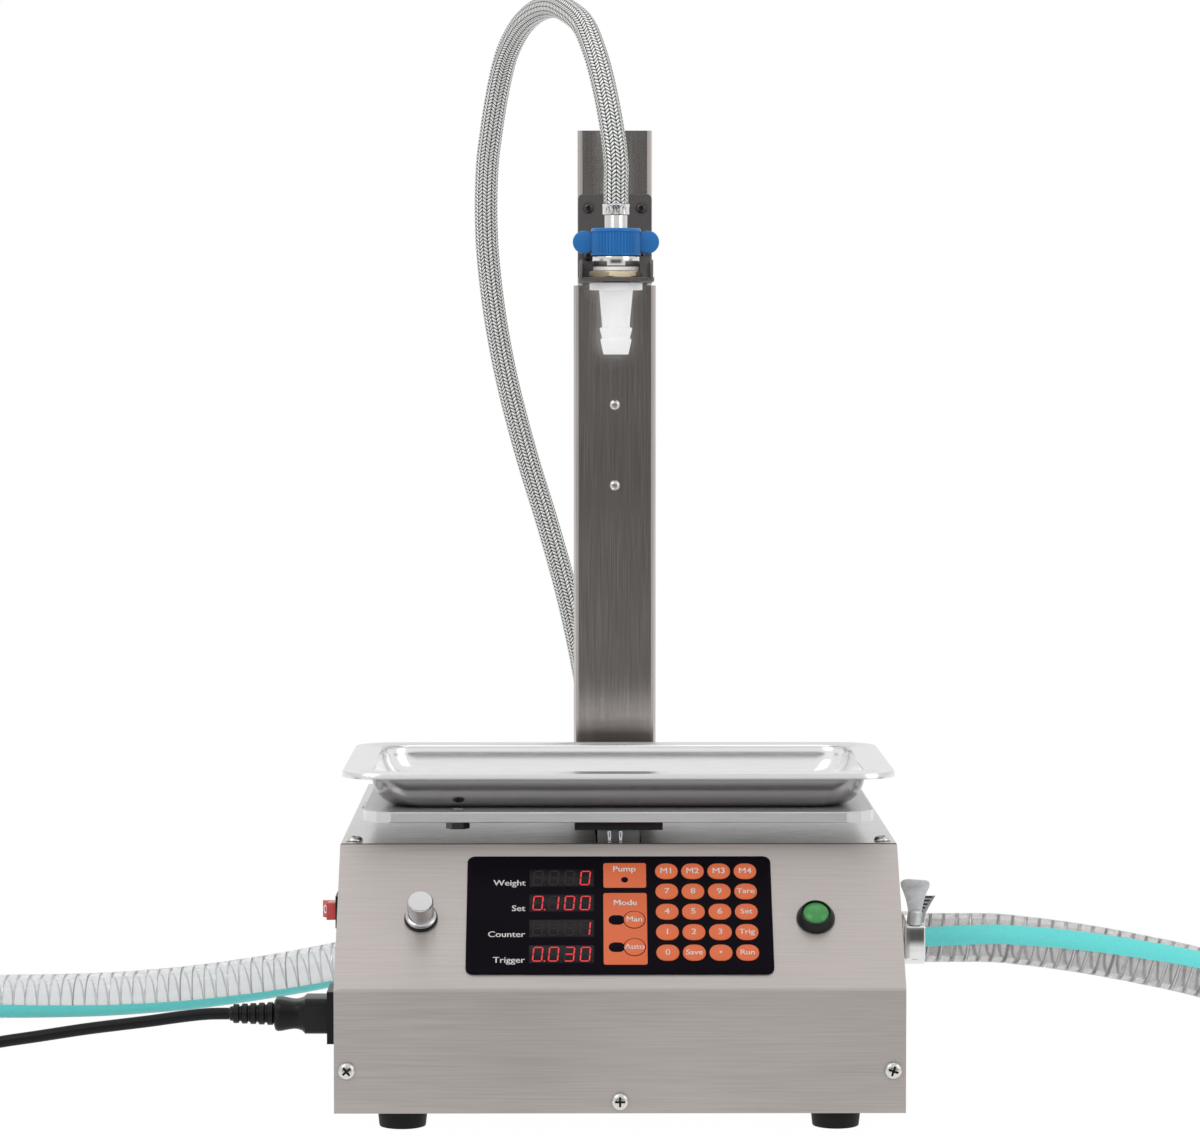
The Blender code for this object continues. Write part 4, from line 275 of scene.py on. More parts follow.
def hose(points, radius, sides, up=(0, 0, 1), bore=None, arc=None, twist=0.0, twisted_length=0.33):
    """A tube along the points, hollow with a bore. An arc of (from, to) turns makes a strip of it instead,
    which may wind by a twist of turns per metre over its first length."""
    shape = bmesh.new()
    uv = shape.loops.layers.uv.new("along")
    line = frames(points, up)
    run = run_along(points)
    first, last = arc or (0, 1)
    count = sides + 1 if arc else sides

    def wall(reach):
        rows = []
        for away, (point, side, lift) in zip(run, line):
            row = []
            for index in range(count):
                share = first + (last - first) * index / sides + twist * min(away, twisted_length)
                turn = math.tau * share
                row.append(shape.verts.new(point + reach * (side * math.cos(turn) + lift * math.sin(turn))))
            rows.append(row)
        for index, (row, after) in enumerate(zip(rows, rows[1:])):
            for step in range(sides):
                beside = (step + 1) % count
                face = shape.faces.new((row[step], after[step], after[beside], row[beside]))
                corners = ((index, step), (index + 1, step), (index + 1, step + 1), (index, step + 1))
                for loop, (along, around) in zip(face.loops, corners):
                    loop[uv].uv = (run[along], around / sides)
        return rows

    outer = wall(radius)
    if bore:
        inner = wall(bore)
        for rim, hole in ((outer[0], inner[0]), (outer[-1], inner[-1])):
            for step in range(sides):
                after = (step + 1) % sides
                shape.faces.new((rim[step], rim[after], hole[after], hole[step]))
    elif not arc:
        shape.faces.new(outer[0])
        shape.faces.new(outer[-1])
    bmesh.ops.recalc_face_normals(shape, faces=shape.faces)
    return shape


cord_radius = 0.0031
cord_route = [
    (-0.2016, 0.047, 0.058), (-0.208, 0.047, 0.058), (-0.216, 0.047, 0.0576), (-0.228, 0.047, 0.0562),
    (-0.243, 0.047, 0.0541), (-0.260, 0.0472, 0.052), (-0.277, 0.0475, 0.0498), (-0.300, 0.048, 0.0462),
    (-0.3225, 0.050, 0.0425), (-0.345, 0.054, 0.0372), (-0.368, 0.060, 0.0292), (-0.390, 0.067, 0.0192),
    (-0.410, 0.0745, 0.0098), (-0.424, 0.0815, 0.0043), (-0.437, 0.0842, 0.0033), (-0.4435, 0.0842, 0.0033),
]
cord_coil = coil(centre=(-0.450, 0.040), radius=0.0442, pitch=0.0068, turns=5.5, low=0.0033,
                 start_angle=math.pi / 2, leads=(0.0062, 0.018), rise=0.0068)
cord_line = np.vstack([smooth_line(cord_route, 0.005), cord_coil])
cord_black = finish("cord_black", (0.006, 0.006, 0.007), 0.40, scale=1500, spread=0.2, bump=0.06,
                    Specular_IOR_Level=0.2)
cord = put("mains_cord", hose(cord_line, cord_radius, 20), cord_black, "power_cord", "power_cord_coil",
           slot="cord")

# The cord's two moulded plugs, in black plastic. The far one has finger grips and two blades, and lies on
# the bench. The near one sits in the machine's inlet, is waisted for the fingers, and has a ribbed relief.
plug_black = finish("plug_black", (0.006, 0.006, 0.007), 0.36, scale=900, spread=0.2, bump=0.08,
                    Specular_IOR_Level=0.25)


def rounded(width, depth, corner, level, steps=5):
    """Points round a rectangle with round corners, about Z."""
    points = []
    for quarter, (side_x, side_y) in enumerate([(1, 1), (-1, 1), (-1, -1), (1, -1)]):
        for step in range(steps + 1):
            turn = math.pi / 2 * (quarter + step / steps)
            points.append(Vector((
                side_x * (width / 2 - corner) + corner * math.cos(turn),
                side_y * (depth / 2 - corner) + corner * math.sin(turn), level,
            )))
    return points


def skin(rings, closed=False):
    """A surface over rings of like count, with flat ends or running round to its first ring."""
    shape = bmesh.new()
    rows = [[shape.verts.new(point) for point in ring] for ring in rings]
    pairs = list(zip(rows, rows[1:]))
    if closed:
        pairs.append((rows[-1], rows[0]))
    else:
        shape.faces.new(rows[0])
        shape.faces.new(rows[-1])
    for lower, upper in pairs:
        for index in range(len(lower)):
            after = (index + 1) % len(lower)
            shape.faces.new((lower[index], lower[after], upper[after], upper[index]))
    bmesh.ops.recalc_face_normals(shape, faces=shape.faces)
    return shape


def moulded(sections, steps=5):
    """A solid through rounded sections of (width, depth, corner, level)."""
    return skin([rounded(*section, steps) for section in sections])


def round_section(radius, level, groove=0):
    """A round section of a cord's relief, or one cut back for the groove between two ribs."""
    return (2 * radius - 2 * groove, 2 * radius - 2 * groove, radius * 0.999 - groove, level)


def facing(z_axis, x_axis):
    """The turn that lays a piece's Z and X axes in two directions."""
    z_axis = Vector(z_axis)
    x_axis = Vector(x_axis)
    return Matrix((x_axis, z_axis.cross(x_axis), z_axis)).transposed().to_4x4()


to_right = facing((1, 0, 0), (0, 0, 1))
to_left = facing((-1, 0, 0), (0, 0, 1))
to_front = facing((0, -1, 0), (1, 0, 0))
to_rear = facing((0, 1, 0), (1, 0, 0))


def moved(x, y, z):
    return Matrix.Translation((x, y, z))


def turned(degrees, axis):
    return Matrix.Rotation(math.radians(degrees), 4, axis)


def joined(shape, added, place=None):
    """Adds one bmesh to another."""
    if place is not None:
        added.transform(place)
    mesh = bpy.data.meshes.new("added")
    added.to_mesh(mesh)
    added.free()
    shape.from_mesh(mesh)
    bpy.data.meshes.remove(mesh)
    return shape


def softened(shape, edge, steps=2):
    """The shape with all its edges rounded."""
    bmesh.ops.bevel(shape, geom=shape.edges[:], offset=edge, segments=steps, profile=0.5, affect="EDGES")
    return shape


def box(low, high, edge=0, steps=2, shape=None):
    """A block, with its edges rounded where an edge is given."""
    made = bmesh.new()
    size = Vector(high) - Vector(low)
    middle = (Vector(high) + Vector(low)) / 2
    bmesh.ops.create_cube(made, size=1, matrix=Matrix.Translation(middle) @ Matrix.Diagonal((*size, 1)))
    if edge:
        softened(made, edge, steps)
    return made if shape is None else joined(shape, made)


plug_place = machine @ Matrix.Translation(Vector(cord_coil[-1]) + Vector((0.0003, 0, 0))) @ to_right
last_rib = 8
sections = []
for rib in range(last_rib + 1):
    radius = 0.0044 + 0.0016 * rib / last_rib
    level = 0.0195 * rib / last_rib
    sections.append(round_section(radius, level))
    if rib < last_rib:
        sections.append(round_section(radius, level + 0.0012, groove=0.0007))
sections += [
    (0.0150, 0.0200, 0.0050, 0.0200), (0.0180, 0.0245, 0.0060, 0.0230), (0.0188, 0.0256, 0.0060, 0.0300),
    (0.0172, 0.0236, 0.0058, 0.0380), (0.0172, 0.0236, 0.0058, 0.0440), (0.0190, 0.0258, 0.0050, 0.0490),
    (0.0190, 0.0258, 0.0050, 0.0525), (0.0180, 0.0248, 0.0045, 0.0539),
]
plug = put("cord_plug", moulded(sections), plug_black, "mains_plug", at=plug_place, slot="black_plastic")
blade_steel = finish("blade_steel", (0.72, 0.68, 0.58), 0.25, 1, scale=900)
blades = bmesh.new()
for offset in (-0.00635, 0.00635):
    box((-0.0031, offset - 0.00075, 0.052), (0.0031, offset + 0.00075, 0.0699), 0.0004, shape=blades)
blades = put("plug_blades", blades, blade_steel, at=plug_place)

sections = [
    (0.0183, 0.0240, 0.0035, -0.0087), (0.0183, 0.0240, 0.0035, 0.0168), (0.0175, 0.0232, 0.0040, 0.0173),
    (0.0158, 0.0214, 0.0045, 0.0184), (0.0146, 0.0202, 0.0050, 0.0205), (0.0142, 0.0198, 0.0050, 0.0225),
    (0.0150, 0.0204, 0.0052, 0.0255), (0.0164, 0.0212, 0.0055, 0.0290), (0.0168, 0.0210, 0.0058, 0.0312),
    (0.0158, 0.0196, 0.0062, 0.0324), (0.0140, 0.0160, 0.0065, 0.0330),
]
for rib in range(5):
    radius = 0.0060 - 0.0010 * rib / 4
    level = 0.0336 + 0.0044 * rib
    sections += [
        round_section(radius, level, groove=0.0011), round_section(radius, level + 0.0005),
        round_section(radius, level + 0.0030), round_section(radius, level + 0.0035, groove=0.0011),
    ]
sections.append((0.0072, 0.0072, 0.0035, 0.0562))
inlet_plug = put("inlet_plug", moulded(sections), plug_black, "power_plug",
                 at=machine @ moved(-0.145, 0.047, 0.058) @ to_left, slot="black_plastic")

# The clear hoses: soft plastic with a steel wire wound in the wall and one turquoise stripe. The right
# one is the suction hose. The left one comes from an elbow at the rear. Both end wound on the bench.
clear_plastic = finish("clear_plastic", (0.955, 0.965, 0.97), 0.12, scale=500, spread=0.02, bump=0.04,
                       Transmission_Weight=0.80, IOR=1.32)
smoky_plastic = finish("smoky_plastic", (0.77, 0.765, 0.76), 0.12, scale=260, spread=0.14, bump=0.3,
                       depth=0.0004, Transmission_Weight=0.82, IOR=1.38)
wire_steel = finish("wire_steel", (0.70, 0.72, 0.73), 0.25, 1, scale=900, spread=0.1)
stripe_blue = finish("stripe_turquoise", (0.13, 0.71, 0.69), 0.35, scale=700, spread=0.06)
hose_radius = 0.013
hose_bore = 0.0102
wire_circle = 0.0116
wire_pitch = 0.0071
wire_steps = 2200


def clear_hose(name, nodes, route, turn_centre, start_angle, stripe_arc, twist, plastic,
               wire_radius):
    """A hose along its route and one wide turn on the bench, with its wire and its stripe."""
    turn = coil(turn_centre, radius=0.157, pitch=0.031, turns=1.0, low=0.0133, start_angle=start_angle,
                leads=(0.026, 0.026))
    line = np.vstack([smooth_line(route, 0.008), turn])
    clear_wall = put(name, hose(line, hose_radius, 40, bore=hose_bore), plastic, *nodes, slot="clear_hose")
    marks = np.linspace(0, 1, wire_steps)
    places = np.linspace(0, 1, len(line))
    fine = np.column_stack([np.interp(marks, places, line[:, axis]) for axis in range(3)])
    wound = []
    for along, (point, side, lift) in zip(run_along(fine), frames(fine, (0, 0, 1))):
        angle = math.tau * along / wire_pitch
        wound.append(tuple(point + wire_circle * (side * math.cos(angle) + lift * math.sin(angle))))
    wire = put(f"{name}_wire", hose(np.array(wound), wire_radius, 6), wire_steel)
    strip = hose(line, hose_radius + 0.00008, 8, arc=stripe_arc, twist=twist)
    stripe = put(f"{name}_stripe", strip, stripe_blue, slot="clear_hose")


suction_route = (
    (0.1505, 0.113, 0.088), (0.195, 0.113, 0.088), (0.215, 0.113, 0.0864), (0.2291, 0.1129, 0.0847),
    (0.245, 0.1125, 0.0825), (0.2624, 0.1115, 0.0796), (0.28, 0.11, 0.0763), (0.2956, 0.1082, 0.0733),
    (0.311, 0.106, 0.0698), (0.3277, 0.1036, 0.0654), (0.345, 0.101, 0.0603), (0.3624, 0.0981, 0.0544),
    (0.38, 0.095, 0.0478), (0.3983, 0.0914, 0.0405), (0.415, 0.088, 0.0333), (0.437, 0.0838, 0.0215),
    (0.462, 0.08, 0.0133), (0.4887, 0.08, 0.0133),
)
return_route = (
    (-0.0663, 0.395, 0.05), (-0.082, 0.395, 0.05), (-0.105, 0.395, 0.0468), (-0.135, 0.3955, 0.0398),
    (-0.1527, 0.3958, 0.0355), (-0.172, 0.396, 0.0312), (-0.193, 0.3961, 0.0272), (-0.215, 0.396, 0.0236),
    (-0.2374, 0.3958, 0.0204), (-0.26, 0.3955, 0.0178), (-0.2825, 0.3952, 0.0159), (-0.305, 0.395, 0.0145),
    (-0.3272, 0.395, 0.0138), (-0.35, 0.395, 0.0134), (-0.3746, 0.395, 0.0133), (-0.4, 0.395, 0.0133),
    (-0.452, 0.395, 0.0133), (-0.4787, 0.395, 0.0133),
)
clear_hose("suction_hose", ("inlet_hose_end", "inlet_hose", "inlet_hose_coil"), suction_route,
           turn_centre=(0.515, 0.237), start_angle=-math.pi / 2, stripe_arc=(-0.045, 0.085), twist=0.55,
           plastic=smoky_plastic, wire_radius=0.0009)
clear_hose("return_hose_run", ("return_hose", "return_hose_coil"), return_route,
           turn_centre=(-0.505, 0.238), start_angle=math.pi / 2, stripe_arc=(0.64, 0.785), twist=-0.34,
           plastic=clear_plastic, wire_radius=0.0005)

# The outlet hose: a rubber tube in a braid of fine steel wire. It leaves the elbow behind the post,
# rises, bends over in a high arch and comes straight down to the filling head.
braid = bpy.data.materials.new("steel_braid")
braid.use_nodes = True
tree = braid.node_tree
shader = tree.nodes["Principled BSDF"]
strand_columns = 16.0
strand_pitch = 0.0021
along = node(tree, "ShaderNodeSeparateXYZ", {0: node(tree, "ShaderNodeTexCoord").outputs["UV"]}).outputs
column = worked(tree, "MULTIPLY", along["Y"], strand_columns)
slanted = worked(tree, "MULTIPLY", worked(tree, "PINGPONG", column, 1.0), math.pi)
crossings = worked(tree, "MULTIPLY", along["X"], math.pi / strand_pitch)
wave = worked(tree, "ABSOLUTE", worked(tree, "SINE", worked(tree, "ADD", crossings, slanted)))
crossing_dip_and_shade = worked(tree, "POWER", worked(tree, "SINE", slanted), 0.45)
fine = node(tree, "ShaderNodeTexNoise", {"Scale": 900.0, "Detail": 2.0}).outputs[0]
wires = node(tree, "ShaderNodeMapRange", {"Value": fine, "To Min": -0.12, "To Max": 0.12}).outputs[0]
weave = worked(tree, "ADD", worked(tree, "MULTIPLY", wave, crossing_dip_and_shade), wires)
# The tone follows the weave: dark at each strand's edges and where it dives under the next column, bright
# along its middle. This is partly the black rubber seen between the wires, and partly painted shade.
tone = node(tree, "ShaderNodeValToRGB", {0: weave})
gap_and_shade, wire_top = tone.color_ramp.elements
gap_and_shade.position = 0.22
gap_and_shade.color = (0.03, 0.032, 0.03, 1)
wire_top.position = 0.68
wire_top.color = (0.93, 0.94, 0.92, 1)
tree.links.new(tone.outputs[0], shader.inputs["Base Color"])
relief = node(tree, "ShaderNodeBump", {"Height": weave, "Strength": 0.8, "Distance": 0.0006})
tree.links.new(relief.outputs[0], shader.inputs["Normal"])
shader.inputs["Metallic"].default_value = 0.8
shader.inputs["Roughness"].default_value = 0.30

outlet_radius = 0.0068
outlet_route = [
    (0, 0.225, 0.4815), (0, 0.225, 0.492), (0.0001, 0.2255, 0.503), (-0.0017, 0.229, 0.520),
    (-0.0047, 0.235, 0.5378), (-0.0085, 0.2436, 0.5555), (-0.0124, 0.252, 0.569), (-0.0181, 0.265, 0.583),
    (-0.027, 0.284, 0.5922), (-0.035, 0.302, 0.5963), (-0.0447, 0.323, 0.5948), (-0.0538, 0.343, 0.588),
    (-0.0614, 0.360, 0.5757), (-0.0657, 0.370, 0.5626), (-0.0695, 0.378, 0.5448), (-0.0724, 0.384, 0.5265),
    (-0.0746, 0.389, 0.5086), (-0.0754, 0.391, 0.481), (-0.0741, 0.392, 0.4527), (-0.0695, 0.392, 0.4157),
    (-0.0623, 0.392, 0.3787), (-0.0515, 0.392, 0.3374), (-0.0395, 0.392, 0.2982), (-0.0286, 0.392, 0.259),
    (-0.0198, 0.392, 0.2198), (-0.0142, 0.392, 0.185), (-0.0122, 0.392, 0.157), (-0.012, 0.392, 0.140),
    (-0.012, 0.392, 0.1283),
]
outlet_line = smooth_line(outlet_route, 0.004)
outlet = hose(outlet_line, outlet_radius, 32, up=(0, 1, 0))
outlet = put("braided_hose", outlet, braid, "outlet_hose", body=None, slot="braid")
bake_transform(outlet)

# The body: brushed stainless sheet, 1.5 mm thick. The front and the slope are one folded sheet, the base
# and the rear another, and the sides and the top are screwed on. A thin dark strip along the top's front
# edge is painted shadow: it stands for the shadow line in the seam there.
steel_front = finish("brushed_front", (0.50, 0.458, 0.438), 0.36, 0.72, grain=(0.014, 1, 1), scale=1700,
                     spread=0.12, bump=0.10, depth=0.0001, wear=0.2, brushed="X")
steel_side = finish("brushed_side", (0.50, 0.467, 0.452), 0.30, 0.8, grain=(1, 0.014, 1), scale=1700,
                    spread=0.12, bump=0.10, depth=0.0001, wear=0.2, brushed="Y")
steel_top = finish("brushed_top", (0.64, 0.63, 0.625), 0.28, 1, grain=(0.02, 1, 1), scale=1400, spread=0.08,
                   bump=0.08, depth=0.0001, wear=0.2)


def eased_sheet(name, look, slot, body="base", fold=0.0008, edge=0.0003, shortest=0.012):
    """A sheet's CAD shape with its folds rounded and its cut edges eased, apart from the shortest ones."""
    shape = bmesh.new()
    shape.from_mesh(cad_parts[name].data)
    bmesh.ops.remove_doubles(shape, verts=shape.verts, dist=0.000001)
    bmesh.ops.dissolve_limit(shape, angle_limit=math.radians(1), verts=shape.verts, edges=shape.edges)
    for face in shape.faces:
        face.smooth = False
    for least, most, reach in ((30, 60, fold), (80, 100, edge)):
        corners = [
            line for line in shape.edges
            if line.is_manifold and line.is_convex and line.calc_length() > shortest
            and least < math.degrees(line.calc_face_angle()) < most
        ]
        made = bmesh.ops.bevel(shape, geom=corners, offset=reach, segments=3, profile=0.5, affect="EDGES",
                               clamp_overlap=True)
        for face in made["faces"]:
            face.smooth = True
    put(f"{name}_sheet", shape, look, name, body=body, at=Matrix.Identity(4), slot=slot, smooth=False)


eased_sheet("front_panel", steel_front, "body")
eased_sheet("base_pan", steel_front, "body")
eased_sheet("side_panel_left", steel_side, "body")
eased_sheet("side_panel_right", steel_side, "body")
eased_sheet("top_plate", steel_top, "top_steel")
# A dark strip in the seam under the top's front edge: painted shadow, not a real part.
seam_shadow_dark = finish("seam_painted_shadow", (0.045, 0.042, 0.04), 0.5, scale=900, spread=0.1, bump=0.08)
put("seam_shadow_strip", box((-0.1447, 0.0662, 0.1428), (0.1447, 0.0673, 0.1440), 0.0003), seam_shadow_dark)

# The panel screws: zinc-plated pan heads with a cross recess, driven through the sheets into the flanges
# of the sides. Smaller screws with a six-sided socket hold the sleeve and the nozzle bracket.
zinc = finish("zinc_plate", (0.70, 0.69, 0.66), 0.26, 1, scale=1200, spread=0.1)


def spun(profile, sides=56):
    """A closed outline of (radius, height) pairs, turned about Z."""
    shape = bmesh.new()
    rows = []
    for radius, height in profile:
        row = []
        for step in range(sides if radius else 1):
            turn = math.tau * step / sides
            row.append(shape.verts.new((radius * math.cos(turn), radius * math.sin(turn), height)))
        rows.append(row)
    for lower, upper in zip(rows, rows[1:] + rows[:1]):
        if len(lower) == 1 and len(upper) == 1:
            continue
        for index in range(sides):
            after = (index + 1) % sides
            corners = (
                lower[index % len(lower)], lower[after % len(lower)],
                upper[after % len(upper)], upper[index % len(upper)],
            )
            shape.faces.new(tuple(dict.fromkeys(corners)))
    bmesh.ops.recalc_face_normals(shape, faces=shape.faces)
    return shape


def eased(points, edge):
    """The outline with each corner cut and rounded by the edge, except on the axis."""
    made = []
    for index, point in enumerate(points):
        here = Vector(point)
        back = Vector(points[index - 1]) - here
        ahead = Vector(points[(index + 1) % len(points)]) - here
        if here.x == 0:
            made.append(tuple(here))
            continue
        cut = min(edge, back.length * 0.4, ahead.length * 0.4)
        start = here + back.normalized() * cut
        end = here + ahead.normalized() * cut
        for share in (0, 0.5, 1):
            made.append(tuple(start.lerp(here, share).lerp(here.lerp(end, share), share)))
    return made


def tube(inner, outer, low, high, edge, sides=56):
    """A round bar, or a ring where the inner radius isn't nought, with its edges eased."""
    return spun(eased([(inner, low), (outer, low), (outer, high), (inner, high)], edge), sides)


def carved(shape, cutter):
    """The first shape less the second."""
    items = []
    for source in (shape, cutter):
        mesh = bpy.data.meshes.new("carved")
        source.to_mesh(mesh)
        source.free()
        item = bpy.data.objects.new("carved", mesh)
        scene.collection.objects.link(item)
        items.append(item)
    cut = items[0].modifiers.new("cut", "BOOLEAN")
    cut.operation = "DIFFERENCE"
    cut.solver = "EXACT"
    cut.object = items[1]
    result = bmesh.new()
    result.from_mesh(items[0].evaluated_get(bpy.context.evaluated_depsgraph_get()).to_mesh())
    for item in items:
        bpy.data.objects.remove(item, do_unlink=True)
    return result


def screw(radius, height, shank_radius, shank, arms, recess, low):
    """A domed screw. One bar cuts a slot into its head, two cut a cross and three a six-sided socket."""
    shape = spun([(0, height), (radius * 0.45, height * 0.97), (radius * 0.75, height * 0.8),
                  (radius * 0.93, height * 0.5), (radius, height * 0.12), (radius, 0), (shank_radius, 0),
                  (shank_radius, -shank), (0, -shank)], 32)
    reach, half = recess
    for arm in range(arms):
        bar = box((-reach, -half, low), (reach, half, height * 2))
        bar.transform(Matrix.Rotation(math.pi * arm / arms, 4, "Z"))
        shape = carved(shape, bar)
    # Faces inside the recess take the second look, which for most screws is a dark painted shade.
    for face in shape.faces:
        middle = face.calc_center_median()
        if math.hypot(middle.x, middle.y) < reach and low - 1e-5 < middle.z < height * 0.85:
            face.material_index = 1
    return shape


def panel_screw(shank):
    return screw(0.0045, 0.0022, 0.0017, shank, 2, (0.0026, 0.00055), 0.0003)


small_head = 0.0018
wide_socket = (0.0012, 0.0007)


def socket_screw(shank, recess=wide_socket):
    return screw(0.003, small_head, 0.0014, shank, 3, recess, 0.0006)


# A near-black colour for the insides of recesses and slots: painted shade where the hollows lie in shadow.
hollow_painted_shade = finish("hollow_painted_shade", (0.02, 0.019, 0.018), 0.5, 0.4, scale=1200, spread=0.2)
flange = 0.1385
upright = Matrix.Identity(4)
screw_seats = {"panel_screw_bottom": ((0, -0.0003, 0.0204), to_front)}
for x, side in ((-flange, "left"), (flange, "right")):
    screw_seats[f"panel_screw_front_{side}"] = ((x, -0.0003, 0.036), to_front)
    screw_seats[f"panel_screw_near_{side}"] = ((x, 0.082, 0.1439), upright)
    screw_seats[f"panel_screw_far_{side}"] = ((x, 0.246, 0.1439), upright)
for index, (name, (place, way)) in enumerate(screw_seats.items()):
    at = machine @ moved(*place) @ way @ Matrix.Rotation(0.7 * index, 4, "Z")
    put(f"{name}_cross", panel_screw(0.008), [zinc, hollow_painted_shade], name, at=at, slot="screw")
rear_screws = bmesh.new()
for index, (x, z) in enumerate(((-flange, 0.036), (flange, 0.036), (-flange, 0.124), (flange, 0.124))):
    joined(rear_screws, panel_screw(0.003),
           moved(x, 0.3703, z) @ to_rear @ Matrix.Rotation(0.6 + 0.7 * index, 4, "Z"))
put("rear_panel_screws", rear_screws, [zinc, hollow_painted_shade])

black_oxide = finish("black_oxide", (0.07, 0.066, 0.064), 0.30, 0.7, scale=1200, spread=0.2)
for name, body, looks, recess in (
    ("sleeve_screw_upper", "base", [zinc, zinc], (0.0009, 0.00052)),
    ("sleeve_screw_lower", "base", [zinc, zinc], (0.0009, 0.00052)),
    ("bracket_screw_left", "carriage", [black_oxide, hollow_painted_shade], wide_socket),
    ("bracket_screw_right", "carriage", [black_oxide, hollow_painted_shade], wide_socket),
):
    low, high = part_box(name)
    middle = (Vector(low) + Vector(high)) / 2
    seat = low[1] + small_head
    head = socket_screw(high[1] - low[1] - small_head, recess)
    put(f"{name}_socket", head, looks, name, body=body, at=moved(middle.x, seat, middle.z) @ to_front,
        slot="screw")
bracket_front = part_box("bracket_screw_right")[0][1] + small_head
lower_screws = bmesh.new()
for x in (-0.015, 0.015):
    lower_seat = moved(machine.translation.x + x, bracket_front, 0.4539) @ to_front
    joined(lower_screws, socket_screw(0.004), lower_seat)
put("bracket_lower_screws", lower_screws, [black_oxide, hollow_painted_shade], body="carriage", at=upright)

# The feet: black rubber, moulded and slightly tapered, with a deep recess in the sole. The stud that each
# holds goes up through the base pan.
foot_rubber = finish("foot_rubber", (0.007, 0.007, 0.007), 0.6, scale=1600, spread=0.25, bump=0.2,
                     Specular_IOR_Level=0.25)
foot = [(0, 0.010), (0.0055, 0.010), (0.0055, 0), (0.012, 0), (0.0135, 0.014), (0.0025, 0.014),
        (0.0025, 0.019), (0, 0.019)]
for x, side in ((-0.112, "left"), (0.112, "right")):
    for y, end in ((0.045, "front"), (0.325, "rear")):
        name = f"foot_{end}_{side}"
        put(f"{name}_rubber", spun(eased(foot, 0.0008)), foot_rubber, name, at=machine @ moved(x, y, 0),
            slot="rubber")

# The keypad: a black printed film over raised orange keys, with four rows of red figures behind dark
# windows. It is glued to the slope, and its board is fixed behind.
slope_rise = 0.0662
slope_back = 0.066
slope_length = math.hypot(slope_rise, slope_back)
slope = machine @ moved(0, 0.033, 0.1105) @ Matrix.Rotation(math.atan2(slope_rise, slope_back), 4, "X")
pad_width = 0.157
pad_height = 0.0755
film_top = 0.0011
key_top = 0.0016


def spot(across, down):
    """A place on the slope, by shares of the pad's width and height from its upper left corner."""
    return ((across - 0.5) * pad_width, 0.003 * slope_length + (0.5 - down) * pad_height)


def plate(width, depth, corner, low, high, edge, place, shape=None):
    """A flat plate with round corners and a softened upper edge."""
    made = moulded([
        (width, depth, corner, low), (width, depth, corner, high - edge),
        (width - edge, depth - edge, max(corner - edge / 2, edge / 4), high - edge * 0.3),
        (width - 2 * edge, depth - 2 * edge, max(corner - edge, edge / 4), high),
    ])
    made.transform(moved(*place, 0))
    return made if shape is None else joined(shape, made)


film_black = finish("film_black", (0.0045, 0.0034, 0.0060), 0.42, scale=900, spread=0.2, bump=0.03,
                    Specular_IOR_Level=0.03)
film = plate(pad_width, pad_height, 0.004, 0.0003, film_top, 0.0002, spot(0.5, 0.5))
put("keypad_film", film, film_black, "keypad_overlay", at=slope, slot="keypad")
orange = finish("key_orange", (0.66, 0.128, 0.036), 0.50, scale=1200, spread=0.05, bump=0.04)
keys = bmesh.new()
key_columns = (0.656, 0.742, 0.8285, 0.915)
key_rows = (0.134, 0.308, 0.481, 0.654, 0.827)
mode_rows = (0.548, 0.780)
mode_column = 0.5485
for row in key_rows:
    for column in key_columns:
        plate(0.0118, 0.0102, 0.0049, film_top - 0.0002, key_top, 0.0003, spot(column, row), keys)
for row in mode_rows:
    plate(0.0108, 0.0106, 0.0052, film_top - 0.0002, key_top, 0.0003, spot(mode_column, row), keys)
put("orange_keys", keys, orange, at=slope)
print_orange = finish("print_orange", (0.64, 0.120, 0.034), 0.50, scale=1200, spread=0.04, bump=0.02)
fields = bmesh.new()
for width, depth, place in ((0.0221, 0.0161, spot(0.5185, 0.1675)), (0.0224, 0.0458, spot(0.5188, 0.6225))):
    plate(width, depth, 0.0012, film_top - 0.0002, film_top + 0.00012, 0.0001, place, fields)
put("orange_fields", fields, print_orange, at=slope)
marks = bmesh.new()
mark_top = film_top + 0.0002
plate(0.0036, 0.0036, 0.0017, film_top, mark_top, 0.00005, spot(0.518, 0.206), marks)
for row in (0.550, 0.780):
    plate(0.0083, 0.0061, 0.0030, film_top, mark_top, 0.00005, spot(0.4905, row), marks)
for row in mode_rows:
    plate(0.0115, 0.0113, 0.0055, film_top, mark_top, 0.00005, spot(mode_column, row), marks)
put("black_marks", marks, film_black, at=slope)


def dress(name, look):
    """Gives a CAD node its finish."""
    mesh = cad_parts[name].data
    mesh.materials.clear()
    mesh.materials.append(look)


board_green = finish("board_green", (0.02, 0.16, 0.07), 0.4, scale=200, spread=0.3, bump=0.1)
dress("keypad_board", board_green)

# The lettering and the figures: white print, and red segments that glow through a dark window. Segments
# that are off stay faintly grey.
letters = bmesh.new()


def write(words, size, place, level, align="CENTER", weight=0.0):
    """Plain words as a thin raised print, thickened sideways by a weight."""
    text = bpy.data.curves.new("words", "FONT")
    text.body = words
    text.size = size
    text.align_x = align
    text.align_y = "CENTER"
    text.extrude = 0.00004
    text.resolution_u = 3
    item = bpy.data.objects.new("words", text)
    scene.collection.objects.link(item)
    done = item.evaluated_get(bpy.context.evaluated_depsgraph_get()).to_mesh()
    for step in (-1, 0, 1):
        made = bmesh.new()
        made.from_mesh(done)
        widened = Matrix.Diagonal((1.06, 1, 1, 1))
        joined(letters, made, moved(place[0] + step * weight, place[1], level) @ widened)
    bpy.data.objects.remove(item, do_unlink=True)


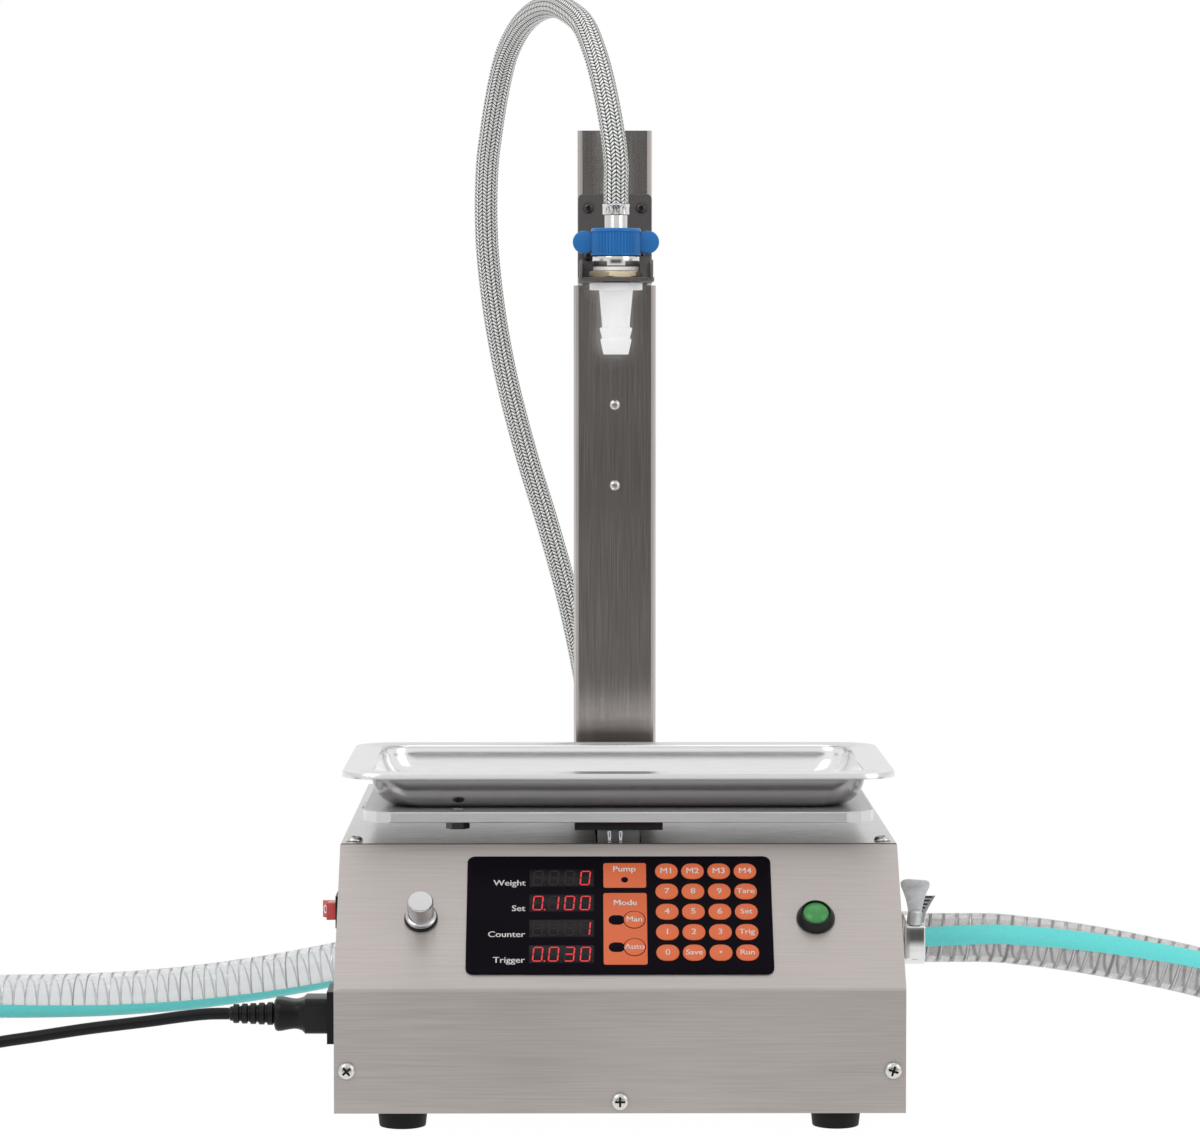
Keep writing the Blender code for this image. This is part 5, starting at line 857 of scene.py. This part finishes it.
for words, row in zip(("Weight", "Set", "Counter", "Trigger"), (0.234, 0.452, 0.672, 0.888)):
    write(words, 0.0052, spot(0.192, row), film_top + 0.00006, "RIGHT", 0.00007)
write("Pump", 0.0050, spot(0.517, 0.115), mark_top, weight=0.00008)
write("Mode", 0.0050, spot(0.519, 0.405), mark_top, weight=0.00008)
key_words = (
    ("M1", "M2", "M3", "M4"), ("7", "8", "9", "Tare"), ("4", "5", "6", "Set"), ("1", "2", "3", "Trig"),
    ("0", "Save", "•", "Run"),
)
key_print = key_top + 0.00005
for row, line in zip(key_rows, key_words):
    for column, words in zip(key_columns, line):
        write(words, 0.0051 if len(words) < 3 else 0.0046, spot(column, row), key_print, weight=0.00005)
for row, words in zip(mode_rows, ("Man", "Auto")):
    write(words, 0.0047, spot(mode_column, row), key_print, weight=0.00005)
print_white = finish("print_white", (0.86, 0.86, 0.85), 0.5, scale=1500, spread=0.03, bump=0.02)
put("white_lettering", letters, print_white, at=slope)

window = finish("display_window", (0.007, 0.0045, 0.0055), 0.3, scale=300, spread=0.1, bump=0.01,
                Specular_IOR_Level=0.15)
display_rows = (0.190, 0.405, 0.621, 0.838)
display_column = 0.311
panes = bmesh.new()
for row in display_rows:
    plate(0.0332, 0.0112, 0.0005, film_top - 0.0001, film_top + 0.00005, 0.00003,
          spot(display_column, row), panes)
put("display_panes", panes, window, at=slope)

digit_width = 0.0046
digit_height = 0.0086
digit_pitch = 0.0081
digit_slant = 0.08
segment_half = 0.00036
segment_thick = 0.00006
point_right = 0.0034
point_down = 0.0043
point_radius = 0.0005
bars = {
    "a": (0, 1, False), "g": (0, 0, False), "d": (0, -1, False), "f": (-1, 0.5, True), "b": (1, 0.5, True),
    "e": (-1, -0.5, True), "c": (1, -0.5, True),
}
lit_bars = {"0": "abcdef", "1": "bc", "3": "abgcd", " ": ""}


def raised(outline):
    """A thin raised shape over the window."""
    return skin([
        [Vector((x, y, film_top + segment_thick + rise)) for x, y in outline] for rise in (0, segment_thick)
    ])


def segment(x, y, on_end):
    """One six-sided bar of a figure, which leans with the figure's slant."""
    reach = (digit_height / 2 if on_end else digit_width) / 2 - 0.00015
    inner = reach - segment_half
    outline = [(-reach, 0), (-inner, segment_half), (inner, segment_half), (reach, 0),
               (inner, -segment_half), (-inner, -segment_half)]
    if on_end:
        outline = [(b, a) for a, b in outline]
    return raised([(x + a + digit_slant * (y + b), y + b) for a, b in outline])


lit = bmesh.new()
unlit = bmesh.new()
point_outline = []
for step in range(8):
    turn = math.tau * step / 8
    x = point_right + point_radius * math.cos(turn)
    point_outline.append((x, point_radius * math.sin(turn) - point_down))
for row, digits, pointed in zip(display_rows, ("   0", "0100", "   1", "0030"), (None, 0, None, 0)):
    x, y = spot(display_column, row)
    for index, figure in enumerate(digits):
        at = moved(x + (index - 1.5) * digit_pitch, y, 0)
        for key, (side, level, on_end) in bars.items():
            bar = segment(side * digit_width / 2, level * digit_height / 2, on_end)
            joined(lit if key in lit_bars[figure] else unlit, bar, at)
        joined(lit if index == pointed else unlit, raised(point_outline), at)
glow_red = finish("segment_red", (0.62, 0.02, 0.03), 0.35, scale=900, spread=0.05,
                  Emission_Color=(0.75, 0.015, 0.03, 1), Emission_Strength=0.34)
dim = finish("segment_off", (0.024, 0.017, 0.019), 0.4, scale=900, spread=0.1, Specular_IOR_Level=0.15)
put("lit_segments", lit, glow_red, at=slope)
put("dark_segments", unlit, dim, at=slope)

# The control knob: turned aluminium with a fine knurl and a wide flange, on a black washer. It is pushed
# on the shaft of the control behind the slope, and turns it.
satin = finish("satin_aluminium", (0.57, 0.57, 0.58), 0.18, 1, grain=(1, 1, 0.15), scale=1800, spread=0.06,
               bump=0.08)
control_row = -0.02 * slope_length
knob_place = slope @ moved(-0.1018, control_row, 0)
knurl = 0.00014


def ribbed(rings, steps, closed=False):
    """A turned shape of (radius, level, rib) rings, with every second point further out by the rib."""
    made = []
    for radius, level, rib in rings:
        ring = []
        for step in range(steps):
            away = Vector((radius + rib * (step % 2), 0, level))
            ring.append(away @ Matrix.Rotation(-math.tau * step / steps, 3, "Z"))
        made.append(ring)
    return skin(made, closed)


knob = ribbed([
    (0.0030, -0.0070, 0), (0.0030, 0.0018, 0), (0.0077, 0.0018, 0), (0.0080, 0.0021, 0),
    (0.0080, 0.0034, 0), (0.0076, 0.0038, 0), (0.0066, 0.0041, 0), (0.0066, 0.0045, knurl),
    (0.0066, 0.0139, knurl), (0.0066, 0.0143, 0), (0.0065, 0.0149, 0), (0.0061, 0.0153, 0),
    (0.0020, 0.0153, 0),
], 128)
put("turned_knob", knob, satin, "control_knob", body="knob", at=knob_place, slot="aluminium")
black_satin = finish("black_satin", (0.006, 0.006, 0.007), 0.36, scale=1000, spread=0.15, bump=0.05,
                     Specular_IOR_Level=0.3)
put("knob_ring", tube(0.0048, 0.0086, 0.0001, 0.0014, 0.0002), black_satin, at=knob_place,
    slot="black_plastic")

# The start button: a green domed cap of moulded plastic. It sinks into a black cone of a bezel, which is
# held in the slope from behind.
button_place = slope @ moved(0.1007, control_row, 0)
bezel = eased([(0.00715, 0.0055), (0.0078, 0.0055), (0.0099, 0.0013), (0.0099, 0.0003), (0.0079, 0.0003),
               (0.0079, -0.0235), (0, -0.0235), (0, -0.0095), (0.00715, -0.0095)], 0.0004)
put("bezel_cone", spun(bezel, 72), black_satin, "button_bezel", at=button_place, slot="black_plastic")
green = finish("button_green", (0.045, 0.26, 0.065), 0.26, scale=700, spread=0.06, bump=0.03)
cap = [(0, 0.0070), (0.0020, 0.0069), (0.0037, 0.00655), (0.0051, 0.0060), (0.0061, 0.0054),
       (0.0067, 0.0048), (0.00685, 0.0043), (0.00685, -0.0040), (0.0020, -0.0040), (0.0020, -0.0060),
       (0, -0.0060)]
put("green_cap", spun(cap, 72), green, "button_cap", body="button", at=button_place, slot="green_button")

# The power switch: a red see-through rocker with its two printed marks. It tilts in a black plastic frame,
# which is clipped into the left side.
rocker_place = machine @ moved(-0.145, 0.062, 0.110) @ to_left @ turned(12, "X")
red_clear = finish("rocker_red", (0.82, 0.11, 0.11), 0.22, scale=600, spread=0.05, bump=0.02,
                   Transmission_Weight=0.25, IOR=1.45)
rocker_half = 0.00445
hollow = [(0.0062, 0.0082), (0.0047, 0.0074), (0.0030, 0.0067), (0.0015, 0.0062)]
hollow_far = [(-y, z) for y, z in reversed(hollow)]
outline = [(-0.0062, -0.003), (0.0062, -0.003), *hollow, (0, 0.0059), *hollow_far]
rocker = skin([[Vector((x, y, z)) for y, z in outline] for x in (-rocker_half, rocker_half)])
put("red_rocker", softened(rocker, 0.0003), red_clear, "power_rocker", body="rocker", at=rocker_place,
    slot="red_rocker")
rocker_marks = bmesh.new()
joined(rocker_marks, tube(0.00125, 0.0018, -0.0004, 0.0003, 0.00005, 24),
       moved(0, 0.0034, 0.00708) @ turned(22, "X") @ Matrix.Diagonal((1.25, 0.85, 1, 1)))
joined(rocker_marks, box((-0.0016, -0.0003, -0.0004), (0.0016, 0.0003, 0.0003), 0.00005),
       moved(0, -0.0035, 0.00708) @ turned(-21, "X"))
put("rocker_marks", rocker_marks, print_white, body="rocker", at=rocker_place)
dress("rocker_frame", black_satin)

# The mains inlet: a socket of black moulded plastic for the cord's plug. It is clipped into the left side
# under the switch.
dress("power_inlet", black_satin)

# The suction port and its clamp: a nickel-plated barbed fitting through the side, with the hose pushed on.
# A polished steel band with a worm screw holds it, and a zinc thumb key tightens the band.
nickel = finish("nickel", (0.72, 0.715, 0.70), 0.14, 1, scale=1000, spread=0.06)
polished = finish("polished_band", (0.74, 0.74, 0.73), 0.11, 1, grain=(1, 0.1, 0.1), scale=1400,
                  spread=0.06)
port = [(0.008, -0.011), (0.011, -0.011), (0.011, 0.0003), (0.0165, 0.0003), (0.0165, 0.004)]
barb_length = 0.00933
for barb in range(3):
    port += [(0.010, 0.004 + barb_length * barb), (0.0094, 0.004 + barb_length * (barb + 1))]
port.append((0.008, 0.032))
put("barbed_port", spun(port), nickel, "inlet_port", at=machine @ moved(0.145, 0.113, 0.088) @ to_right,
    slot="bright_metal")

clamp_place = moved(0.1384, -0.08975, 0.088)
worm_x = 0.006
worm_y = -0.0168
band = tube(0.0133, 0.0141, 0, 0.012, 0.0002, 96)
band.transform(to_right)
housing = box((0.0003, -0.0199, -0.009), (0.0117, -0.0137, 0.009), 0.0012, 3)
for rib in (0.0022, 0.0060, 0.0098):
    joined(housing, tube(0, 0.0012, -0.0084, 0.0084, 0.0004, 16), moved(rib, -0.0194, 0))
worm_hole = spun([(0, -0.02), (0.0026, -0.02), (0.0026, 0.02), (0, 0.02)], 24)
worm_hole.transform(moved(worm_x, worm_y, 0))
joined(band, carved(housing, worm_hole))
tail_front, tail_back = -0.0106, -0.0100
tail_rings = []
for near, far, z in (
    (0.0020, 0.0113, 0.0090), (0.0026, 0.0119, 0.0140), (0.0050, 0.0145, 0.0190), (0.0082, 0.0174, 0.0238),
):
    corners = ((near, tail_front), (near, tail_back), (far, tail_back), (far, tail_front))
    tail_rings.append([Vector((x, y, z)) for x, y in corners])
joined(band, skin(tail_rings))
put("clamp_band", band, polished, "inlet_clamp", at=clamp_place, slot="bright_metal")
# Thin dark strips on the band's tail stand for its perforations: painted shade in place of open slots.
slots = bmesh.new()
for step in range(5):
    level = 0.0150 + 0.0019 * step
    shift = 0.0028 + 0.66 * (level - 0.0140)
    box((shift + 0.0030, -0.01065, level), (shift + 0.0072, -0.00995, level + 0.0009), shape=slots)
put("clamp_slot_shadows", slots, hollow_painted_shade, at=clamp_place)

key_head = [(0, 0.0093), (0.0038, 0.0093), (0.0038, 0.0160), (0.0030, 0.0170), (0, 0.0170)]
key = spun(eased(key_head, 0.0004), 40)
joined(key, spun([(0, -0.0092), (0.0022, -0.0092), (0.0022, 0.0100), (0, 0.0100)], 20))
thumb_half = 0.0007
thumb_outline = [
    (-0.0034, 0.0150), (0.0034, 0.0150), (0.0041, 0.0195), (0.0049, 0.0228), (0.0061, 0.0262),
    (0.0074, 0.0290), (0.0078, 0.0308), (0.0072, 0.0322), (0.0056, 0.0328), (-0.0040, 0.0335),
    (-0.0062, 0.0330), (-0.0076, 0.0318), (-0.0076, 0.0300), (-0.0061, 0.0262), (-0.0049, 0.0228),
    (-0.0041, 0.0195),
]
thumb = skin([[Vector((x, y, z)) for x, z in thumb_outline] for y in (-thumb_half, thumb_half)])
joined(key, softened(thumb, 0.0003))
key_zinc = finish("key_zinc", (0.66, 0.68, 0.69), 0.40, 0.8, scale=700, spread=0.14, bump=0.15)
put("clamp_thumb_key", key, key_zinc, "inlet_clamp_key", body="clamp_key",
    at=clamp_place @ moved(worm_x, worm_y, 0), slot="bright_metal")

# The rear elbows: nickel-plated, one for the return hose and one for the braided hose, each held by a
# six-sided nut on the rear sheet. A band with a slotted screw holds the return hose.
dress("return_elbow", nickel)
dress("outlet_elbow", nickel)


def hex_ring(reach, level, limit, lean):
    """Points round a six-sided nut that leans by some degrees, none further out than the limit."""
    half_side = math.pi / 6
    ring = []
    for step in range(72):
        turn = math.radians(5 * step)
        from_middle = (turn - math.radians(lean)) % (2 * half_side) - half_side
        flat = reach * math.cos(half_side) / math.cos(from_middle)
        ring.append(Vector((min(flat, limit) * math.cos(turn), min(flat, limit) * math.sin(turn), level)))
    return ring


def hex_nut(reach, chamfer, edge, bore, low, high, lean=0):
    """A six-sided nut with its corners chamfered and its hole open."""
    return skin([
        hex_ring(reach, low, chamfer, lean), hex_ring(reach, low + edge, reach, lean),
        hex_ring(reach, high - edge, reach, lean), hex_ring(reach, high, chamfer, lean),
        hex_ring(reach, high, bore, lean), hex_ring(reach, low, bore, lean),
    ], closed=True)


rear_nuts = bmesh.new()
for x, z, bore, high in ((-0.040, 0.050, 0.0111, 0.0098), (-0.012, 0.100, 0.0086, 0.0078)):
    reach = bore * 1.42
    nut = hex_nut(reach, reach * 0.93, 0.0006, bore, 0.0041, high)
    joined(rear_nuts, nut, moved(x, 0.370, z) @ to_rear)
put("rear_port_nuts", rear_nuts, nickel, angle=25)
return_band = tube(0.0132, 0.0140, 0, 0.011, 0.0002, 96)
barrel = box((-0.0045, 0.0137, 0.0012), (0.0045, 0.0187, 0.0098), 0.0008)
joined(return_band, barrel, turned(90, "Z"))
slotted = screw(0.0034, 0.0022, 0.0026, 0.004, 1, (0.0040, 0.0004), 0.0008)
joined(return_band, slotted, turned(90, "Z") @ moved(0.0048, 0.0162, 0.0055) @ turned(90, "Y"))
put("return_hose_band", return_band, [polished, hollow_painted_shade],
    at=machine @ moved(-0.0680, 0.395, 0.050) @ to_left)

# The post: a dark brushed square tube that slides in a wider one, which stands on a foot behind the tray.
# The nozzle's bracket is a folded dark sheet with a lip at each side of its shelf, screwed to the slider.
post_steel = finish("post_steel", (0.55, 0.51, 0.485), 0.19, 1, grain=(1, 1, 0.015), scale=1500,
                    spread=0.12, bump=0.07, depth=0.0001, wear=0.15)
dress("post_sleeve", post_steel)
dress("post_slider", post_steel)
bracket_dark = finish("bracket_dark", (0.15, 0.14, 0.135), 0.34, 0.6, scale=1500, spread=0.2, bump=0.2)
eased_sheet("nozzle_bracket", bracket_dark, "dark_sheet", "carriage", edge=0.0004)
lips = bmesh.new()
for x in (-0.02025, 0.0187):
    box((x, 0.1995, 0.4399), (x + 0.00155, 0.2900, 0.4500), 0.0006, shape=lips)
put("shelf_lips", lips, bracket_dark, body="carriage", slot="dark_sheet")

# The filling head: a white plastic nozzle under the shelf, held from above by a brass nut. On the nut lie
# a white washer and the flange of a nickel-plated sleeve, which has the thread for the wing nut.
head_place = machine @ moved(0, 0.225, 0)
nozzle_white = finish("nozzle_white", (0.98, 0.98, 0.98), 0.32, scale=600, spread=0.03, bump=0.05,
                      Subsurface_Weight=0.15, Subsurface_Radius=(1, 1, 1), Subsurface_Scale=0.003)
nozzle = eased([(0.0083, 0.4376), (0.01465, 0.4376), (0.01465, 0.4335), (0.00935, 0.4335), (0.0076, 0.4132),
                (0.0091, 0.4124), (0.0077, 0.4070), (0.0087, 0.4062), (0.0069, 0.3979), (0.0055, 0.3979),
                (0.0055, 0.4298), (0.0083, 0.4298)], 0.0004)
put("white_nozzle", spun(nozzle, 72), nozzle_white, "nozzle", body="carriage", at=head_place,
    slot="white_plastic")
brass = finish("lock_nut_brass", (0.92, 0.78, 0.54), 0.32, 0.45, scale=900, spread=0.08)
brass_nut = hex_nut(0.0153, 0.0140, 0.0005, 0.0083, 0.4407, 0.4439, lean=15)
put("brass_nut", brass_nut, brass, "lock_nut", body="carriage", at=head_place, slot="brass", angle=25)
put("white_seal", tube(0.0083, 0.01265, 0.4442, 0.4464, 0.0003), nozzle_white, "seal_washer",
    body="carriage", at=head_place, slot="white_plastic")
sleeve = eased([(0.0055, 0.4301), (0.008, 0.4301), (0.008, 0.4467), (0.01295, 0.4467), (0.01295, 0.4521),
                (0.0101, 0.4521), (0.0101, 0.4611), (0.0055, 0.4611)], 0.0004)
put("nickel_sleeve", spun(sleeve, 72), nickel, "threaded_sleeve", body="carriage", at=head_place,
    slot="bright_metal")

# The wing nut and the hose's tail: the nut is blue moulded plastic with a ribbed collar and two round
# wings. It holds the nickel-plated tail, whose ferrule is crimped round the braided hose.
blue = finish("wing_blue", (0.006, 0.155, 0.46), 0.34, scale=900, spread=0.06, bump=0.05)
bottom = 0.4524
top = 0.4677
wing_rib = 0.0007
wing = ribbed([
    (0.0132, bottom, 0), (0.0137, bottom + 0.0005, 0), (0.0137, bottom + 0.0012, 0),
    (0.0131, bottom + 0.0014, wing_rib), (0.0131, top - 0.0022, wing_rib), (0.0138, top - 0.0019, 0),
    (0.0138, top - 0.0006, 0), (0.0132, top, 0), (0.0066, top, 0), (0.0066, top - 0.0037, 0),
    (0.0104, top - 0.0037, 0), (0.0104, bottom, 0),
], 92, closed=True)
for x in (-0.01765, 0.01765):
    disc = spun(eased([(0, 0.0025), (0.00635, 0.0025), (0.00635, -0.0025), (0, -0.0025)], 0.0009), 48)
    joined(wing, disc, moved(x, 0, 0.46005) @ to_front)
put("blue_wing_nut", wing, blue, "wing_nut", body="wing_nut_body", at=head_place, slot="wing_nut")
tail = spun(eased([(0.0045, 0.4614), (0.0098, 0.4614), (0.0098, 0.4637), (0.0063, 0.4637), (0.0063, 0.4750),
                   (0.0045, 0.4750)], 0.0003))
crimps = 10
crimp_depth = 0.0007
ferrule = []
for level, radius, crimp in (
    (0.4752, 0.0070, 0), (0.4755, 0.0074, crimp_depth), (0.4790, 0.0074, crimp_depth), (0.4797, 0.0075, 0),
    (0.4808, 0.0076, 0), (0.4812, 0.0073, 0), (0.4812, 0.0046, 0), (0.4752, 0.0046, 0),
):
    ring = []
    for step in range(8 * crimps):
        turn = math.tau * step / (8 * crimps)
        reach = radius - crimp * abs(math.sin(turn * crimps / 2))
        ring.append(Vector((reach * math.cos(turn), reach * math.sin(turn), level)))
    ferrule.append(ring)
joined(tail, skin(ferrule, closed=True))
put("crimped_tail", tail, nickel, "hose_tail", body="carriage", at=head_place, slot="bright_metal")

# The weighing place: an aluminium platform, carried by a load cell with a black strap between them. Two
# pins stand in front of the cell, and a bolt under the platform stops it from being pressed too far.
platform = finish("platform_aluminium", (0.76, 0.76, 0.765), 0.34, 0.85, grain=(0.05, 1, 1), scale=1300,
                  spread=0.06, bump=0.06)
eased_sheet("weigh_platform", platform, "aluminium", edge=0.0006)
dress("platform_strap", black_satin)
put("strap_lip", box((-0.023, 0.0690, 0.1506), (0.023, 0.0715, 0.1551), 0.0004), black_satin)
pins = bmesh.new()
for x in (-0.0048, 0.0010):
    joined(pins, tube(0, 0.0012, 0.1439, 0.1503, 0.0003, 16), moved(x, 0.0702, 0))
put("cell_pins", pins, satin)
# The load cell gets a dark grey instead of its aluminium tone: painted shade for the shadow under the
# platform.
cell_painted_shade = finish("cell_painted_shade", (0.20, 0.20, 0.20), 0.38, 0.8, scale=900, spread=0.1)
dress("load_cell", cell_painted_shade)
dress("overload_stop", black_oxide)

# The tray: thin stainless sheet, deep drawn and polished inside, with a wide flat rim whose edge is turned
# down. It lies loose on the platform. Its outside has a much darker copy of the steel: painted shade.
along_tray = (0.1, 1, 1)
mirror = finish("tray_polish", (0.93, 0.93, 0.94), 0.18, 1, along_tray, scale=700, spread=0.03, bump=0.03)
rim_steel = finish("tray_rim", (0.80, 0.80, 0.81), 0.24, 1, along_tray, scale=900, spread=0.04, bump=0.05)
tray_outside_shaded = finish("tray_outside_painted_shade", (0.33, 0.32, 0.32), 0.20, 1, along_tray, scale=900, spread=0.06,
                     bump=0.05)
tray_bottom = 0.1614
rim = tray_bottom + 0.0195
wall_top = rim - 0.0022
sheet = 0.001


def tray_wall(turn, inset):
    """One section of the tray's rounded wall, from level at its foot to upright under the rim."""
    out = 1 - inset / 0.0145
    width = 2 * (0.1155 + 0.0145 * out * math.cos(turn))
    depth = 2 * (0.0665 + 0.0073 * math.cos(turn) - inset * math.cos(turn))
    level = wall_top - (wall_top - tray_bottom - inset) * math.sin(turn)
    return (width, depth, 0.0155 + 0.0018 * math.cos(turn), level)


corner_steps = 12
turns = [math.radians(step) for step in range(90, -1, -10)]
outside = [(0.218, 0.120, 0.014, tray_bottom)] + [tray_wall(turn, 0.0) for turn in turns]
under_rim = len(outside)
outside += [
    (0.2606, 0.1486, 0.0173, rim - 0.0013), (0.2630, 0.1510, 0.0180, rim - sheet),
    (0.2860, 0.1740, 0.0205, rim - sheet), (0.2880, 0.1760, 0.0210, rim - 0.0030),
    (0.2900, 0.1780, 0.0220, rim - 0.0030), (0.2896, 0.1776, 0.0218, rim - 0.0008),
    (0.2886, 0.1766, 0.0213, rim),
]
inside = [(0.2616, 0.1496, 0.0176, rim), (0.2592, 0.1472, 0.0168, rim - 0.0006)]
inside += [tray_wall(turn, sheet) for turn in reversed(turns)]
inside.append((0.218, 0.120, 0.014, tray_bottom + sheet))
tray = moulded(outside + inside, corner_steps)
tray.faces.ensure_lookup_table()
end_faces = 2
faces_round = 4 * (corner_steps + 1)
# The outside faces, below the rim, take the darkened copy of the steel: painted shade.
for face in [tray.faces[0], *tray.faces[end_faces:end_faces + under_rim * faces_round]]:
    face.material_index = 1
for face in tray.faces:
    if face.calc_center_median().z > rim - 0.0032:
        face.material_index = 2
put("polished_tray", tray, [mirror, tray_outside_shaded, rim_steel], "weigh_tray", body="tray",
    at=machine @ moved(0, 0.149, 0), slot="tray")

# The pump and its motor: a nickel-plated housing behind the suction port, with a white plastic impeller on
# the shaft of a black motor. They are bolted inside the body, out of sight.
motor_black = finish("motor_black", (0.05, 0.05, 0.052), 0.5, 0.3, scale=900, spread=0.2, bump=0.1)
dress("pump_housing", nickel)
dress("pump_motor", motor_black)
dress("impeller", nozzle_white)
